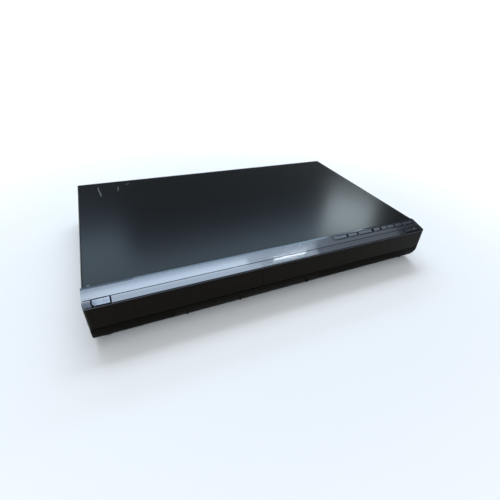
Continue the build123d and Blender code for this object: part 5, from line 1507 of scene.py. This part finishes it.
@dataclass
class Studio:
    """Pale floor, soft lamps, plain surroundings and the camera at the photograph's view.

    Attributes:
        eye, right, up: the camera's place and directions.
        focal, centre, side: its focal length, the middle and the width in the photograph's pixels.
        floor_profile: radius and height of the floor's rings, whose far rim curves up.
        glow, glow_colour, glow_from: the floor's own glow and where it starts and is full.
        horizon, zenith, world_heights: light of the world below and above two heights.
    """

    eye: Point = (-0.16869, -0.40206, 0.27350)
    right: Point = (0.89944, -0.43202, 0.06614)
    up: Point = (0.20291, 0.54680, 0.81231)
    focal: float = 328.39
    centre: Span = (268.85, 259.31)
    side: int = 500
    floor_profile: tuple[Span, ...] = (
        (9.0, 1.6), (8.4, 0.5), (7.5, 0.12), (6.0, 0.0), (2.0, 0.0), (0.6, 0.0), (0.0, 0.0)
    )
    floor_colour: float = 0.93
    glow_from: Span = (0.20, 1.3)
    glow: float = 0.85
    glow_colour: Colour = (1.0, 0.96, 0.91)
    horizon: Colour = (0.07, 0.08, 0.09)
    zenith: Colour = (0.80, 0.82, 0.84)
    world_heights: Span = (0.5, 0.95)

    def camera(self) -> None:
        """Puts the camera where the photograph was taken from."""
        data = bpy.data.cameras.new("camera")
        data.sensor_width = 36.0
        data.lens = data.sensor_width * self.focal / self.side
        data.shift_x = (self.side / 2 - self.centre[0]) / self.side
        data.shift_y = (self.centre[1] - self.side / 2) / self.side
        data.clip_start = 0.01
        camera = bpy.data.objects.new("camera", data)
        bpy.context.scene.collection.objects.link(camera)
        right = Vector(self.right).normalized()
        back = right.cross(Vector(self.up).normalized()).normalized()
        turned = Matrix((right, back.cross(right), back)).transposed().to_4x4()
        camera.matrix_world = Matrix.Translation(self.eye) @ turned
        bpy.context.scene.camera = camera

    def floor(self) -> None:
        """Round matt floor that stays pale far from the lamps."""
        material, graph, inputs = blank("floor_paper")
        position = graph.position()
        low, high = self.floor_colour - 0.01, self.floor_colour
        colour = graph.mix(graph.noise(position, 6.0, 3.0), (low,) * 3, (high,) * 3)
        graph.feed(inputs["Base Color"], colour)
        inputs["Roughness"].default_value = 0.9
        inputs["Specular IOR Level"].default_value = 0.1
        rays = graph.add("LightPath").outputs
        seen = graph.math("MAXIMUM", rays["Is Camera Ray"], rays["Is Glossy Ray"])
        seen = graph.math("MAXIMUM", seen, rays["Is Transmission Ray"])
        far = graph.ramp(graph.vector("LENGTH", position), *self.glow_from)
        glow = graph.math("MULTIPLY", seen, graph.math("MULTIPLY", far, self.glow))
        graph.feed(inputs["Emission Strength"], glow)
        inputs["Emission Color"].default_value = (*self.glow_colour, 1.0)
        shape = Shape(lambda x, y, z: Vector((x, y, z)))
        shape.lathe(self.floor_profile, ORIGIN, sides=96)
        shape.solid("floor", material, math.pi)

    def surroundings(self) -> None:
        """Plain world, white to the eye; its light is dim at the horizon, brighter overhead."""
        world = bpy.data.worlds.new("surroundings")
        world.use_nodes = True
        graph = Graph(world.node_tree)
        background = world.node_tree.nodes["Background"]
        direction = graph.add("TexCoord").outputs["Generated"]
        height = graph.add("SeparateXYZ", {0: direction}).outputs["Z"]
        light = graph.mix(graph.ramp(height, *self.world_heights), self.horizon, self.zenith)
        rays = graph.add("LightPath").outputs
        seen = graph.math("MAXIMUM", rays["Is Camera Ray"], rays["Is Transmission Ray"])
        graph.feed(background.inputs["Color"], graph.mix(seen, light, (1.0, 1.0, 1.0)))
        background.inputs["Strength"].default_value = 1.0
        bpy.context.scene.world = world

    def build(self) -> None:
        """Makes the whole studio."""
        bpy.context.scene.view_settings.view_transform = "Standard"
        self.camera()
        self.floor()
        self.surroundings()
        for lamp in LAMPS:
            lamp.hang()


def corners(bounds: Iterable) -> list[list[float]]:
    """The two corners of a box as plain lists of numbers."""
    return [[float(value) for value in corner] for corner in bounds]


def main() -> None:
    """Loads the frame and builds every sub-assembly."""
    logging.basicConfig(level=logging.INFO, format="%(message)s", stream=sys.stdout)
    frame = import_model()
    Studio().build()
    for kind in (Casing, FrontPanel, DiscDrive, Electronics):
        part = kind(frame)
        part.dress()
        part.build()
        part.report()


if __name__ == "__main__":
    main()
